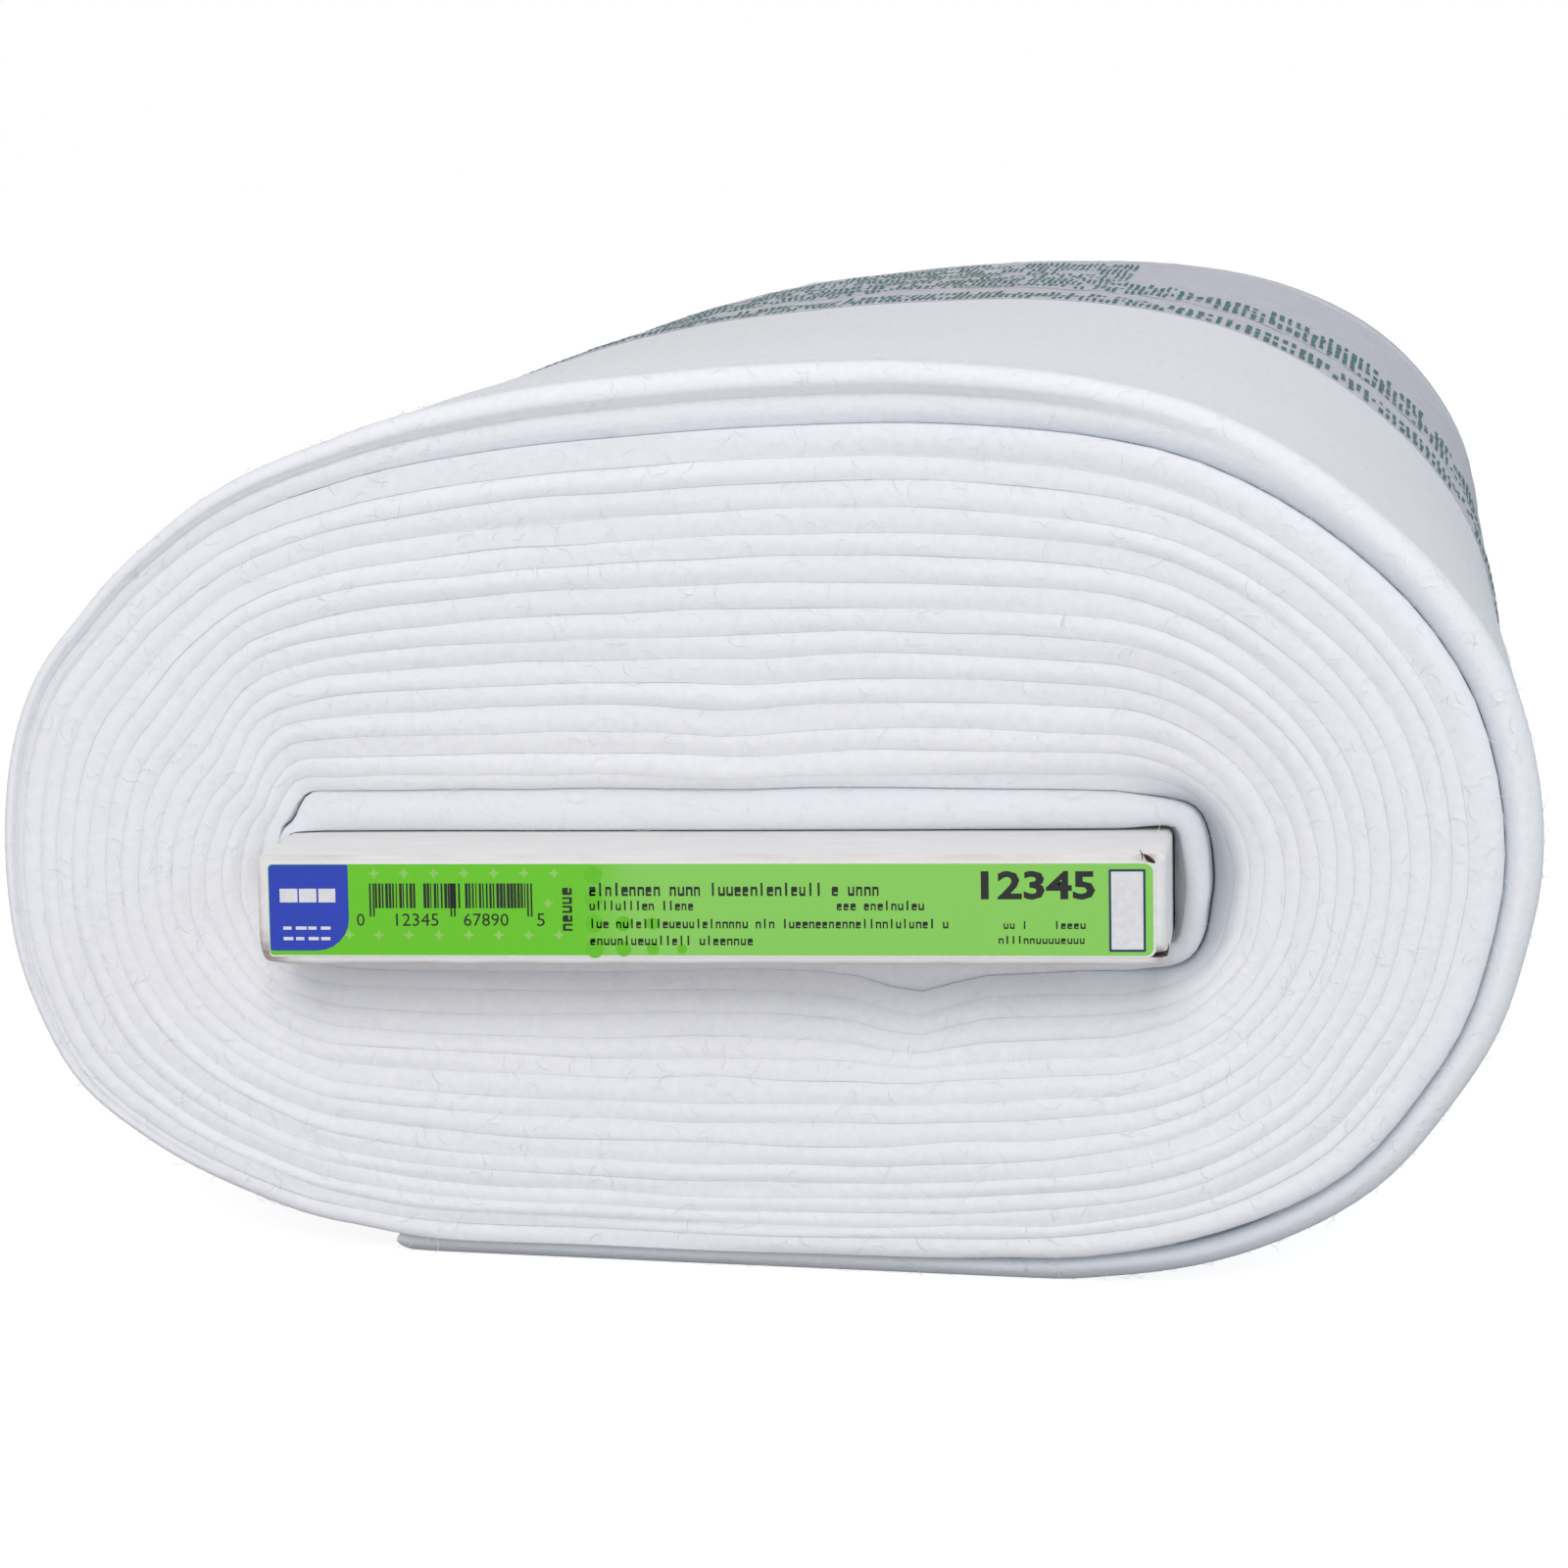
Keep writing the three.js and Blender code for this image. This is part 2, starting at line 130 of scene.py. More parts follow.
def add_node(tree, kind, settings=None, **inputs):
    """Adds a node, sets its options, and sets or wires its inputs by name."""
    added = tree.nodes.new(kind)
    for option, value in (settings or {}).items():
        setattr(added, option, value)
    for label, value in inputs.items():
        is_number = label[0] == "_" and label[1:].isdigit()
        key = int(label[1:]) if is_number else label.rstrip("_").replace("_", " ")
        wire_or_set(tree, added.inputs[key], value)
    return added


def wire_or_set(tree, socket, value):
    if isinstance(value, bpy.types.NodeSocket):
        tree.links.new(value, socket)
    else:
        socket.default_value = value


def node_group(name, kind, inputs, outputs):
    """An empty node group with named sockets, and its input and output nodes."""
    group = bpy.data.node_groups.new(name, kind)
    for label, socket_type, value in inputs:
        socket = group.interface.new_socket(label, in_out="INPUT", socket_type=socket_type)
        if value is not None:
            socket.default_value = value
    for label, socket_type in outputs:
        group.interface.new_socket(label, in_out="OUTPUT", socket_type=socket_type)
    return group, group.nodes.new("NodeGroupInput").outputs, group.nodes.new("NodeGroupOutput").inputs


def socket_names(group):
    """The identifier of each input socket of a node group, by its name."""
    return {item.name: item.identifier for item in group.interface.items_tree if item.in_out == "INPUT"}


def new_material(name, **values):
    """A material with its Principled shader, whose constant sockets are set directly."""
    material = bpy.data.materials.new(name)
    material.use_nodes = True
    shader = material.node_tree.nodes["Principled BSDF"]
    for label, value in values.items():
        shader.inputs[label.replace("_", " ")].default_value = value
    return material, material.node_tree, shader


# %% [markdown]
# ## The winding
# The roll is not a neat spiral. Each turn has its own thickness over the board, at its right
# edge, under it and at its left edge, and all turns together fill an outline that bulges at the
# lower right. So the winding is built as the roll was: the turns are stacked outward from the
# board, then stretched to fill the measured outline. Turns are counted as one number, which
# grows along the cloth; its fraction is the place round the board.

# %% Sizes of the roll
ROLL_LENGTH = 571.5
BOARD_LENGTH = 609.6
BOARD_WIDTH = 171.0
BOARD_THICKNESS = 20.8
BOARD_CENTRE = (-7.7, 73.4)
BOARD_TILT = math.radians(2.2)
NEAR_Y = -ROLL_LENGTH / 2
FAR_Y = ROLL_LENGTH / 2
BOARD_CLEARANCE = 0.3
FOLDS_TOUCH_AT = 0.02

WINDING_ENDS = 16.7
LAST_TURN_FROM = WINDING_ENDS - 1
FLAT_SHARE = 3 / 14
CAP_SHARE = 2 / 7
SPINE_HALF = 75.0
SLACK_AT_RIGHT_EDGE = 2.2
SQUARE_AT_BOARD = 12.0
SQUARE_FADES_OVER = 1.0
FIRST_EDGE_AT = -0.19
FULLNESS_POWER = 3

# Thickness of the folded cloth in each turn: over the board, right of it, under it, left of it
TURN_TOP = [8.3, 2.8, 4.6, 4.4, 5.2, 4.5, 4.7, 4.1, 4.8, 4.7, 5.0, 4.2, 4.5, 5.0, 4.6, 5.7, 11.6]
TURN_RIGHT = [5.2, 3.8, 3.3, 3.1, 4.0, 2.9, 3.5, 3.6, 2.8, 3.3, 4.0, 3.5, 3.6, 4.4, 2.8, 6.8, 7.4]
TURN_UNDER = [6.4, 3.8, 4.4, 4.4, 3.6, 3.6, 4.4, 3.8, 4.0, 3.9, 3.4, 2.9, 2.7, 2.4, 2.2, 3.4, 4.2]
TURN_LEFT = [3.6, 3.3, 3.3, 3.2, 3.2, 3.3, 3.2, 3.4, 3.3, 3.2, 3.4, 3.2, 3.3, 3.2, 3.3, 4.0, 4.2]

# Outline of the near end, clockwise from the loose end's tip: x, z, how much fuller at the far end
OUTLINE = [
    (-80, 6.0, 0), (-99.5, 11.5, 0), (-119, 20.5, 0), (-134, 32.5, 0), (-142, 47.6, 0),
    (-146.2, 63, 0), (-147.3, 82, 0), (-145, 101, 0), (-140.3, 112.7, 0), (-130, 126.5, 0),
    (-116.5, 139.8, 0), (-99, 151.5, 0), (-77, 160.5, 0), (-52, 167.2, 0.3), (-25, 171.6, 0.6),
    (2.3, 174.4, 1.0), (30, 175.4, 1.6), (57.5, 173.4, 3.4), (76, 169.8, 4.8), (94.5, 162.5, 7.0),
    (114, 150, 9.0), (129.5, 135.5, 8.0), (140, 119.5, 6.0), (145.6, 102, 3.0), (147.4, 83, 1.0),
    (145, 67, 0), (140.5, 51.6, 0), (131.5, 36.2, 0), (118.5, 20.5, 0), (100, 9.2, 0),
    (79, 2.6, 0), (56, -0.2, 0), (10, -0.2, 0), (-30, -0.2, 0), (-64, -0.2, 0),
]

# Creases that several turns share: over or under the board, where, width, push, turn, reach
CREASES = [
    ("under", 28.5, 9, 4.0, 1.6, 3.2),
    ("under", -8, 22, -1.4, 3, 3.5),
    ("over", -4, 13, -1.5, 4.5, 3.0),
]


# %% Winding functions
def smooth(t):
    return t * t * (3 - 2 * t)


def ramp(value, start, stop):
    return smooth(min(1.0, max(0.0, (value - start) / (stop - start))))


def from_board(x, z):
    """From the board's own axes to the roll's."""
    cos, sin = math.cos(BOARD_TILT), math.sin(BOARD_TILT)
    return BOARD_CENTRE[0] + x * cos - z * sin, BOARD_CENTRE[1] + x * sin + z * cos


def spoke(place):
    """Where a spoke leaves the board's middle line, and its angle."""
    if place < FLAT_SHARE:
        return -SPINE_HALF + 2 * SPINE_HALF * place / FLAT_SHARE, math.pi / 2
    if place < 0.5:
        return SPINE_HALF, math.pi * (0.5 - (place - FLAT_SHARE) / CAP_SHARE)
    if place < 0.5 + FLAT_SHARE:
        return SPINE_HALF - 2 * SPINE_HALF * (place - 0.5) / FLAT_SHARE, -math.pi / 2
    return -SPINE_HALF, -math.pi * (0.5 + (place - 0.5 - FLAT_SHARE) / CAP_SHARE)


def to_spoke(point_x, point_z):
    """The place round the winding, and the reach along its spoke, of a point of the outline."""
    dx, dz = point_x - BOARD_CENTRE[0], point_z - BOARD_CENTRE[1]
    x = dx * math.cos(BOARD_TILT) + dz * math.sin(BOARD_TILT)
    z = -dx * math.sin(BOARD_TILT) + dz * math.cos(BOARD_TILT)
    if abs(x) <= SPINE_HALF:
        start, toward = (0, 1) if z > 0 else (0.5, -1)
        return start + (x * toward + SPINE_HALF) / (2 * SPINE_HALF) * FLAT_SHARE, abs(z)
    side = 1 if x > 0 else -1
    cap = 0.5 - side * math.atan2(z, side * x - SPINE_HALF) / math.pi
    start = 0 if side > 0 else 0.5
    return start + FLAT_SHARE + CAP_SHARE * cap, math.hypot(side * x - SPINE_HALF, z)


def slack_at(place):
    """The open gap between the board's right edge and the first turn."""
    return SLACK_AT_RIGHT_EDGE * max(math.cos(spoke(place)[1]), 0) ** 2


def inner_reach(place, turn):
    """How far out the winding's inside lies: a square round the board's edge, which each turn
    rounds off. The power of the curve says how square it is; 2 would be a circle."""
    angle = spoke(place)[1]
    across_board = abs(math.cos(angle)) / (BOARD_WIDTH / 2 + BOARD_CLEARANCE - SPINE_HALF)
    through_board = abs(math.sin(angle)) / (BOARD_THICKNESS / 2 + BOARD_CLEARANCE)
    power = 2 + SQUARE_AT_BOARD * math.exp(-turn / SQUARE_FADES_OVER)
    return slack_at(place) + (across_board ** power + through_board ** power) ** (-1 / power)


TURN_KNOTS = []
for k, sides in enumerate(zip(TURN_TOP, TURN_RIGHT, TURN_UNDER, TURN_LEFT)):
    for start, thick in zip((0, FLAT_SHARE, 0.5, 0.5 + FLAT_SHARE), sides):
        half_stretch = (FLAT_SHARE if start in (0, 0.5) else CAP_SHARE) / 2
        TURN_KNOTS.append((k + start + half_stretch, thick))


def thickness(turns):
    """Thickness of the folded cloth at any point of the winding."""
    quarter = next((i for i, knot in enumerate(TURN_KNOTS) if knot[0] > turns), len(TURN_KNOTS))
    if quarter == 0 or quarter == len(TURN_KNOTS):
        return TURN_KNOTS[min(quarter, len(TURN_KNOTS) - 1)][1]
    (at_a, a), (at_b, b) = TURN_KNOTS[quarter - 1:quarter + 1]
    return a + (b - a) * smooth((turns - at_a) / (at_b - at_a))


def first_edge_share(place):
    """The cloth's first edge lies thin on the board's left edge and swells over its corner."""
    return 0.22 * ramp(place, 0.80, 0.85) + 0.78 * ramp(place, 0.928, 0.974)


def stack_height(place, layers):
    """Thickness of all layers below a place, with the climb over the cloth's first edge."""
    return first_edge_share(place) * thickness(0) + sum(thickness(k + place) for k in range(layers))


STRETCH_KNOTS = []
for x, z, fuller in OUTLINE:
    place, reach = to_spoke(x, z)
    whole_stack = stack_height(place, 17 if place < WINDING_ENDS - 16 else 16)
    free = reach - inner_reach(place, len(TURN_TOP))
    STRETCH_KNOTS.append((place, free / whole_stack, (free + fuller) / whole_stack))
STRETCH_KNOTS.sort()


def stretch(place, side):
    """How much the turns are stretched at a place: side 1 is the near end, 2 the far end."""
    count = len(STRETCH_KNOTS)
    after = next((i for i, knot in enumerate(STRETCH_KNOTS) if knot[0] > place), count)
    knots = []
    for index in range(after - 2, after + 2):
        knot = STRETCH_KNOTS[index % count]
        knots.append((knot[0] + index // count, knot[side]))
    (t0, v0), (t1, v1), (t2, v2), (t3, v3) = knots
    width = t2 - t1
    t = (place - t1) / width
    slope_1 = (v2 - v0) / (t2 - t0) * width
    slope_2 = (v3 - v1) / (t3 - t1) * width
    return ((2 * t ** 3 - 3 * t ** 2 + 1) * v1 + (t ** 3 - 2 * t ** 2 + t) * slope_1
            + (3 * t ** 2 - 2 * t ** 3) * v2 + (t ** 3 - t ** 2) * slope_2)


STRETCH_STEPS = 720
ROUNDED_OVER = 36
ROUNDED_UP_TO_TURN = 14.0


def stretch_table(side):
    """The stretch at even steps round the roll: as measured outside, and rounder for inner turns."""
    measured = [stretch(i / STRETCH_STEPS, side) for i in range(STRETCH_STEPS)]
    window = range(-ROUNDED_OVER, ROUNDED_OVER + 1)
    rounder = []
    for i in range(STRETCH_STEPS):
        rounder.append(sum(measured[(i + k) % STRETCH_STEPS] for k in window) / len(window))
    return list(zip(rounder, measured))


STRETCH_TABLES = [stretch_table(1), stretch_table(2)]


def stretch_of_turn(place, turn, side):
    """The stretch of one turn, read between two steps of the table."""
    step = place * STRETCH_STEPS
    low = int(step)
    share = step - low
    table = STRETCH_TABLES[side - 1]
    first, second = table[low % STRETCH_STEPS], table[(low + 1) % STRETCH_STEPS]
    outer = smooth(min(1.0, max(0.0, turn / ROUNDED_UP_TO_TURN)))
    rounder = first[0] + (second[0] - first[0]) * share
    measured = first[1] + (second[1] - first[1]) * share
    return rounder + (measured - rounder) * outer


def crease_push(place, turn):
    if turn == 0 or place % 0.5 > FLAT_SHARE:
        return 0.0
    x = spoke(place)[0] + BOARD_CENTRE[0]
    push = 0.0
    for side, along, width, depth, deepest, reach in CREASES:
        if (side == "over") == (place < 0.5):
            push += depth * math.exp(-((x - along) / width) ** 2 - ((turn - deepest) / reach) ** 2)
    return push


# %% [markdown]
# Handling leaves the turns slightly wavy. Neighbouring turns wander together, because each lies
# on the one below, so the wander is a smooth noise over the place and, slowly, over the turns.

# %% Boundaries between turns
WANDER = 0.55
WANDER_PER_TURN = 1.0
WANDER_ACROSS = 2.6
WANDER_UP = 7.7


def wander(place, turn):
    """Millimetres that a boundary strays outward; none at the board and at the outside."""
    angle = 2 * math.pi * place
    fade = ramp(turn, 0, 2) * (1 - ramp(turn, 14.5, 15.5))
    across, up = math.cos(angle) * WANDER_ACROSS, math.sin(angle) * WANDER_UP
    return WANDER * fade * noise.noise(Vector((across, up, turn * WANDER_PER_TURN)))


def boundary(turns):
    """The boundary below a turn, as (x, z) at the near end and at the far end."""
    turn = math.floor(turns)
    place = turns - turn
    x, angle = spoke(place)
    base = inner_reach(place, max(turn, 0)) + crease_push(place, max(turn, 0)) + wander(place, turns)
    stack = stack_height(place, turn) if turn >= 0 else 0.0
    ends = []
    for side in (1, 2):
        reach = base + stack * stretch_of_turn(place, turn, side)
        px, pz = from_board(x + reach * math.cos(angle), reach * math.sin(angle))
        ends.append((px, max(pz, 0.0)))
    return ends


def blend_points(a, b, share):
    return a[0] + (b[0] - a[0]) * share, a[1] + (b[1] - a[1]) * share


def at_length(ends, y):
    """A boundary's point at a place along the roll, which is fuller towards its far end."""
    along = min(1.0, max(0.0, (y - NEAR_Y) / ROLL_LENGTH))
    return blend_points(ends[0], ends[1], along ** FULLNESS_POWER)


outline_reach = [boundary(WINDING_ENDS + i / 100) for i in range(101)]
print("near end spans x", [round(f([e[0][0] for e in outline_reach]), 1) for f in (min, max)])

# %% [markdown]
# ## Fleece, the material
# Needled fleece has no weave. Fibres lie in soft clumps a millimetre or two across, and finer fuzz
# stands on them. The clumps and the fuzz are a shader group, because the stray fibres and the
# cardboard use the same idea with other values. The cooler, darker valleys between turns, and the
# darker hollow, first turn and underside, are painted shade: a colour from an attribute that the
# mesh stores, in place of the light that is scattered and lost there.

# %% Nap group
nap_group, nap_in, nap_out = node_group(
    "nap", "ShaderNodeTree",
    [("Clump", "NodeSocketFloat", 1.6), ("Fuzz", "NodeSocketFloat", 0.35),
     ("Stretch", "NodeSocketVector", (1, 1, 1))],
    [("Tone", "NodeSocketFloat"), ("Height", "NodeSocketFloat")])
coordinates = add_node(nap_group, "ShaderNodeTexCoord").outputs["Object"]
stretched = add_node(nap_group, "ShaderNodeVectorMath", {"operation": "MULTIPLY"},
                     _0=coordinates, _1=nap_in["Stretch"]).outputs[0]


def per_metre(size):
    """Noise scale for features of a size in millimetres."""
    return add_node(nap_group, "ShaderNodeMath", {"operation": "DIVIDE"}, _0=1000.0, _1=size).outputs[0]


clumps = add_node(nap_group, "ShaderNodeTexNoise", Vector=stretched, Scale=per_metre(nap_in["Clump"]),
                  Detail=3.0, Roughness=0.6).outputs["Fac"]
fuzz = add_node(nap_group, "ShaderNodeTexNoise", Vector=stretched, Scale=per_metre(nap_in["Fuzz"]),
                Detail=2.0, Roughness=0.7, Distortion=0.6).outputs["Fac"]
height = add_node(nap_group, "ShaderNodeMath", {"operation": "MULTIPLY_ADD"},
                  _0=fuzz, _1=0.45, _2=clumps).outputs[0]
tone = add_node(nap_group, "ShaderNodeMapRange", Value=clumps, From_Min=0.25, From_Max=0.75).outputs[0]
wire_or_set(nap_group, nap_out["Tone"], tone)
wire_or_set(nap_group, nap_out["Height"], height)

# %% Fleece material
FLEECE_BRIGHT = (0.90, 0.905, 0.92, 1)
FLEECE_DULL = (0.84, 0.85, 0.875, 1)
# Painted shade: the cooler, darker colour that stands in for shadow in the valleys, the hollow and under
# the roll
FLEECE_PAINTED_SHADE = (0.60, 0.64, 0.69, 1)

fleece, tree, shader = new_material("fleece", Roughness=0.95, Specular_IOR_Level=0.1)
nap = add_node(tree, "ShaderNodeGroup", {"node_tree": nap_group}, Clump=1.8, Fuzz=0.4)
face_colour = add_node(tree, "ShaderNodeMix", {"data_type": "RGBA"}, _0=nap.outputs["Tone"],
                       _6=FLEECE_DULL, _7=FLEECE_BRIGHT).outputs[2]
# How much painted shade each point takes, as stored on the mesh
painted_shade = add_node(tree, "ShaderNodeAttribute", {"attribute_name": "painted_shade"}).outputs["Fac"]
cloth_colour = add_node(tree, "ShaderNodeMix", {"data_type": "RGBA"}, _0=painted_shade,
                        _6=face_colour, _7=FLEECE_PAINTED_SHADE).outputs[2]
wire_or_set(tree, shader.inputs["Base Color"], cloth_colour)
bump = add_node(tree, "ShaderNodeBump", Strength=0.5, Distance=0.0003, Height=nap.outputs["Height"])
wire_or_set(tree, shader.inputs["Normal"], bump.outputs["Normal"])

# %% [markdown]
# ## The cloth
# The batting is one sheet 1143 mm wide, folded in half, so each turn shows a rounded fold at the
# near end and two cut edges at the far end. The mesh is a closed ring that follows that folded
# section: out along one ply, round the fold, back along the other, with a thin slit between the
# plies. The ring is swept along the winding. Only the last turn's outside shows from the side,
# so only there the ring has many points along the roll, and the step between the two kinds of
# ring is one many-sided face under the loose end. The near end is not flat: it is dished towards
# the board, and at the board's right edge the slack turns lie back in a hollow.

# %% Shape of the fold
# The dish in the near end, as two that add up: depth, and the turns over which it fades
DISH = [(4.0, 2.0), (6.0, 6.0)]
# The hollow beside the board: its middle and width round the board, its middle and width in
# turns, its depth
RECESS = {"place": 0.36, "wide": 0.10, "turn": 1.0, "turns": 0.95, "deep": 7.0}
RECESS_FROM_TURN = 0.9
FACE_UNEVEN = 0.6
FACE_LEAST = 0.45
LAST_SETBACK = 4.5
FOLD_POINTS = 12
FOLD_DEPTH_LIMIT = 4.2
FOLD_SQUARE = 0.75
PRESSED_DEPTH = 0.095
PRESSED_UNEVEN = 0.10
PRESSED_LEAST = 0.025
PRESSED_SHAPE = 1.8
FREE_DEPTH = 0.5
LAST_UNDERCUT = 0.34
LAST_UNDERCUT_AT_RIGHT = 0.5
LAST_UNDERCUT_SHAPE = 1.5
FIRST_TURN_FREE = (0.3, 0.75)
# Stretches where a fold's side stands free: middle and half length in turns, how free it is
FREE_INSIDE = [(1.12, 0.2, 0.45), (1.34, 0.24, 0.5)]
FREE_OUTSIDE = [(0.12, 0.2, 0.25), (0.36, 0.24, 0.5), (15.40, 0.2, 0.3)]
PLY_SLIT = 0.25
SLIT_STOPS = 1.1
GAPS_CLOSE_OVER = 4.0
# How much painted shade the cloth takes, a bluish darkening that stands in for shadow: in every
# valley, where a fold is free, in the hollow, at the first turn, under the roll, and behind the
# last fold at the right
VALLEY_SHADE = 0.2
FREE_SHADE = 0.6
HOLLOW_SHADE = 0.9
FIRST_SHADE = 0.4
UNDER_SHADE = 0.55
UNDERCUT_SHADE = 0.75

# Air between a turn and the next one out: middle of the stretch in turns, half width, gap
OPEN_GAPS = [
    (-0.055, 0.035, 1.2),
    (0.13, 0.16, 0.1),
    (0.36, 0.16, 0.7),
    (15.42, 0.17, 0.15),
    (15.475, 0.035, 1.1),
    (15.53, 0.02, 0.7),
]

# The long soft crease in the last fold: where it fades in and out, its height in the fold, depth
LAST_CREASE = {"from": 15.72, "full": 15.95, "fades": 16.17, "to": 16.27,
               "share": 0.46, "width": 0.12, "depth": 3.6}


def air_outside(turns):
    if turns > LAST_TURN_FROM:
        return FOLDS_TOUCH_AT * (1 - ramp(turns, LAST_TURN_FROM, LAST_TURN_FROM + 0.02))
    gap = FOLDS_TOUCH_AT
    for middle, half, width in OPEN_GAPS:
        away = abs(turns - middle) / half
        if away < 1:
            gap += width * (1 - smooth(away))
    return gap


def recess(turns, share):
    """How deep a place lies in the hollow that the slack beside the board has left, 0 to 1. The
    first turn stands forward in it."""
    if turns < RECESS_FROM_TURN:
        return 0.0
    from_place = (turns % 1 - RECESS["place"]) / RECESS["wide"]
    from_turn = (turns + share - 0.5 - RECESS["turn"]) / RECESS["turns"]
    return math.exp(-from_place ** 2 - from_turn ** 2)


def setback(turns, share=0.5):
    """How far a fold stands back from the near end's face, at a share of its thickness. The end
    is dished towards the board, and neighbouring folds meet at the same depth."""
    here = turns + share - 0.5
    dish = sum(deep * math.exp(-(here / wide) ** 2) for deep, wide in DISH)
    last = LAST_SETBACK * ramp(turns, 16.2, 16.36) * (0.3 + 0.7 * share)
    angle = 2 * math.pi * turns
    uneven = noise.noise(Vector((math.cos(angle) * 2.6, math.sin(angle) * 1.6, here * 0.9)))
    hollow = RECESS["deep"] * recess(turns, share)
    return max(0.0, dish + hollow + last + FACE_LEAST + FACE_UNEVEN * uneven)


def right_of_last(turns):
    """1 where the last fold hangs down the roll's right side and stands off the turn inside it."""
    return ramp(turns, 16.12, 16.3) * (1 - ramp(turns, 16.5, 16.62))


def groove_depths(turns, thick):
    """Depths of the grooves on a fold's inner and outer side: deep only where the side is free."""
    angle = 2 * math.pi * turns
    uneven = noise.noise(Vector((math.cos(angle) * 5, math.sin(angle) * 3.3, turns * 2.3)))
    pressed = thick * max(PRESSED_LEAST, PRESSED_DEPTH + PRESSED_UNEVEN * uneven)
    undercut = LAST_UNDERCUT + (LAST_UNDERCUT_AT_RIGHT - LAST_UNDERCUT) * right_of_last(turns)
    under_last = pressed + (thick * undercut - pressed) * ramp(turns, LAST_TURN_FROM, LAST_TURN_FROM + 0.15)
    inner = under_last + (thick * FREE_DEPTH - under_last) * free_inside(turns)
    outer = pressed + (thick * FREE_DEPTH - pressed) * free_outside(turns)
    return min(inner, FOLD_DEPTH_LIMIT), min(outer, FOLD_DEPTH_LIMIT)


def free_stretch(turns, stretches):
    """How free a fold's side is, 0 to 1, from stretches given as (middle, half length, share)."""
    return max(share * (1 - ramp(abs(turns - middle), half / 2, half)) for middle, half, share in stretches)


def free_inside(turns):
    lying, hanging = FIRST_TURN_FREE
    first = (lying + (hanging - lying) * ramp(turns, 0.08, 0.3)) * (1 - ramp(turns, 0.6, 0.9))
    return max(first, free_stretch(turns, FREE_INSIDE))


def free_outside(turns):
    return max(ramp(turns, LAST_TURN_FROM - 0.02, LAST_TURN_FROM + 0.02), free_stretch(turns, FREE_OUTSIDE))


def fold_back(t, free, power=PRESSED_SHAPE):
    """How far a fold's face falls back, 0 to 1, at an angle t round the fold. A free fold is
    round; a pressed one meets its neighbour at an open angle, so its groove stays light."""
    round_shape = 1 - math.sin(t) ** FOLD_SQUARE
    pressed_shape = abs(math.cos(t)) ** power
    return pressed_shape + (round_shape - pressed_shape) * free


def crease_depth(turns):
    c = LAST_CREASE
    return c["depth"] * ramp(turns, c["from"], c["full"]) * (1 - ramp(turns, c["fades"], c["to"]))


# %% Relief of the outside
RELIEF = 0.55
LONG_DIPS = [(-257, 1.0, 11), (-229, 0.5, 8)]


def relief(turns, y):
    """Soft unevenness of the outside, in millimetres outward."""
    angle = 2 * math.pi * turns
    point = Vector((math.cos(angle) * 1.3, math.sin(angle) * 0.9, y / 90))
    broad = noise.noise(point * 1.3) + 0.35 * noise.noise(point * 4.0)
    top_only = ramp(turns, 15.75, 15.95) * (1 - ramp(turns, 16.12, 16.24))
    ridges = 0.0
    for middle, deep, wide in LONG_DIPS:
        ridges -= deep * math.exp(-((y - middle - 6 * math.sin(angle)) / wide) ** 2)
    fade = ramp(turns, LAST_TURN_FROM, LAST_TURN_FROM + 0.05) * (1 - ramp(turns, 16.34, 16.5))
    return fade * (RELIEF * broad + top_only * ridges)


# %% One ring of the folded section
OUTSIDE_ROWS = 58
EDGE_ROUND = 0.35


def outside_places(start):
    """Places along the roll for the outside, closer together near the fold."""
    steps = [(i / OUTSIDE_ROWS) ** 1.35 for i in range(1, OUTSIDE_ROWS)]
    return [start + (FAR_Y - 2 - start) * t for t in steps]


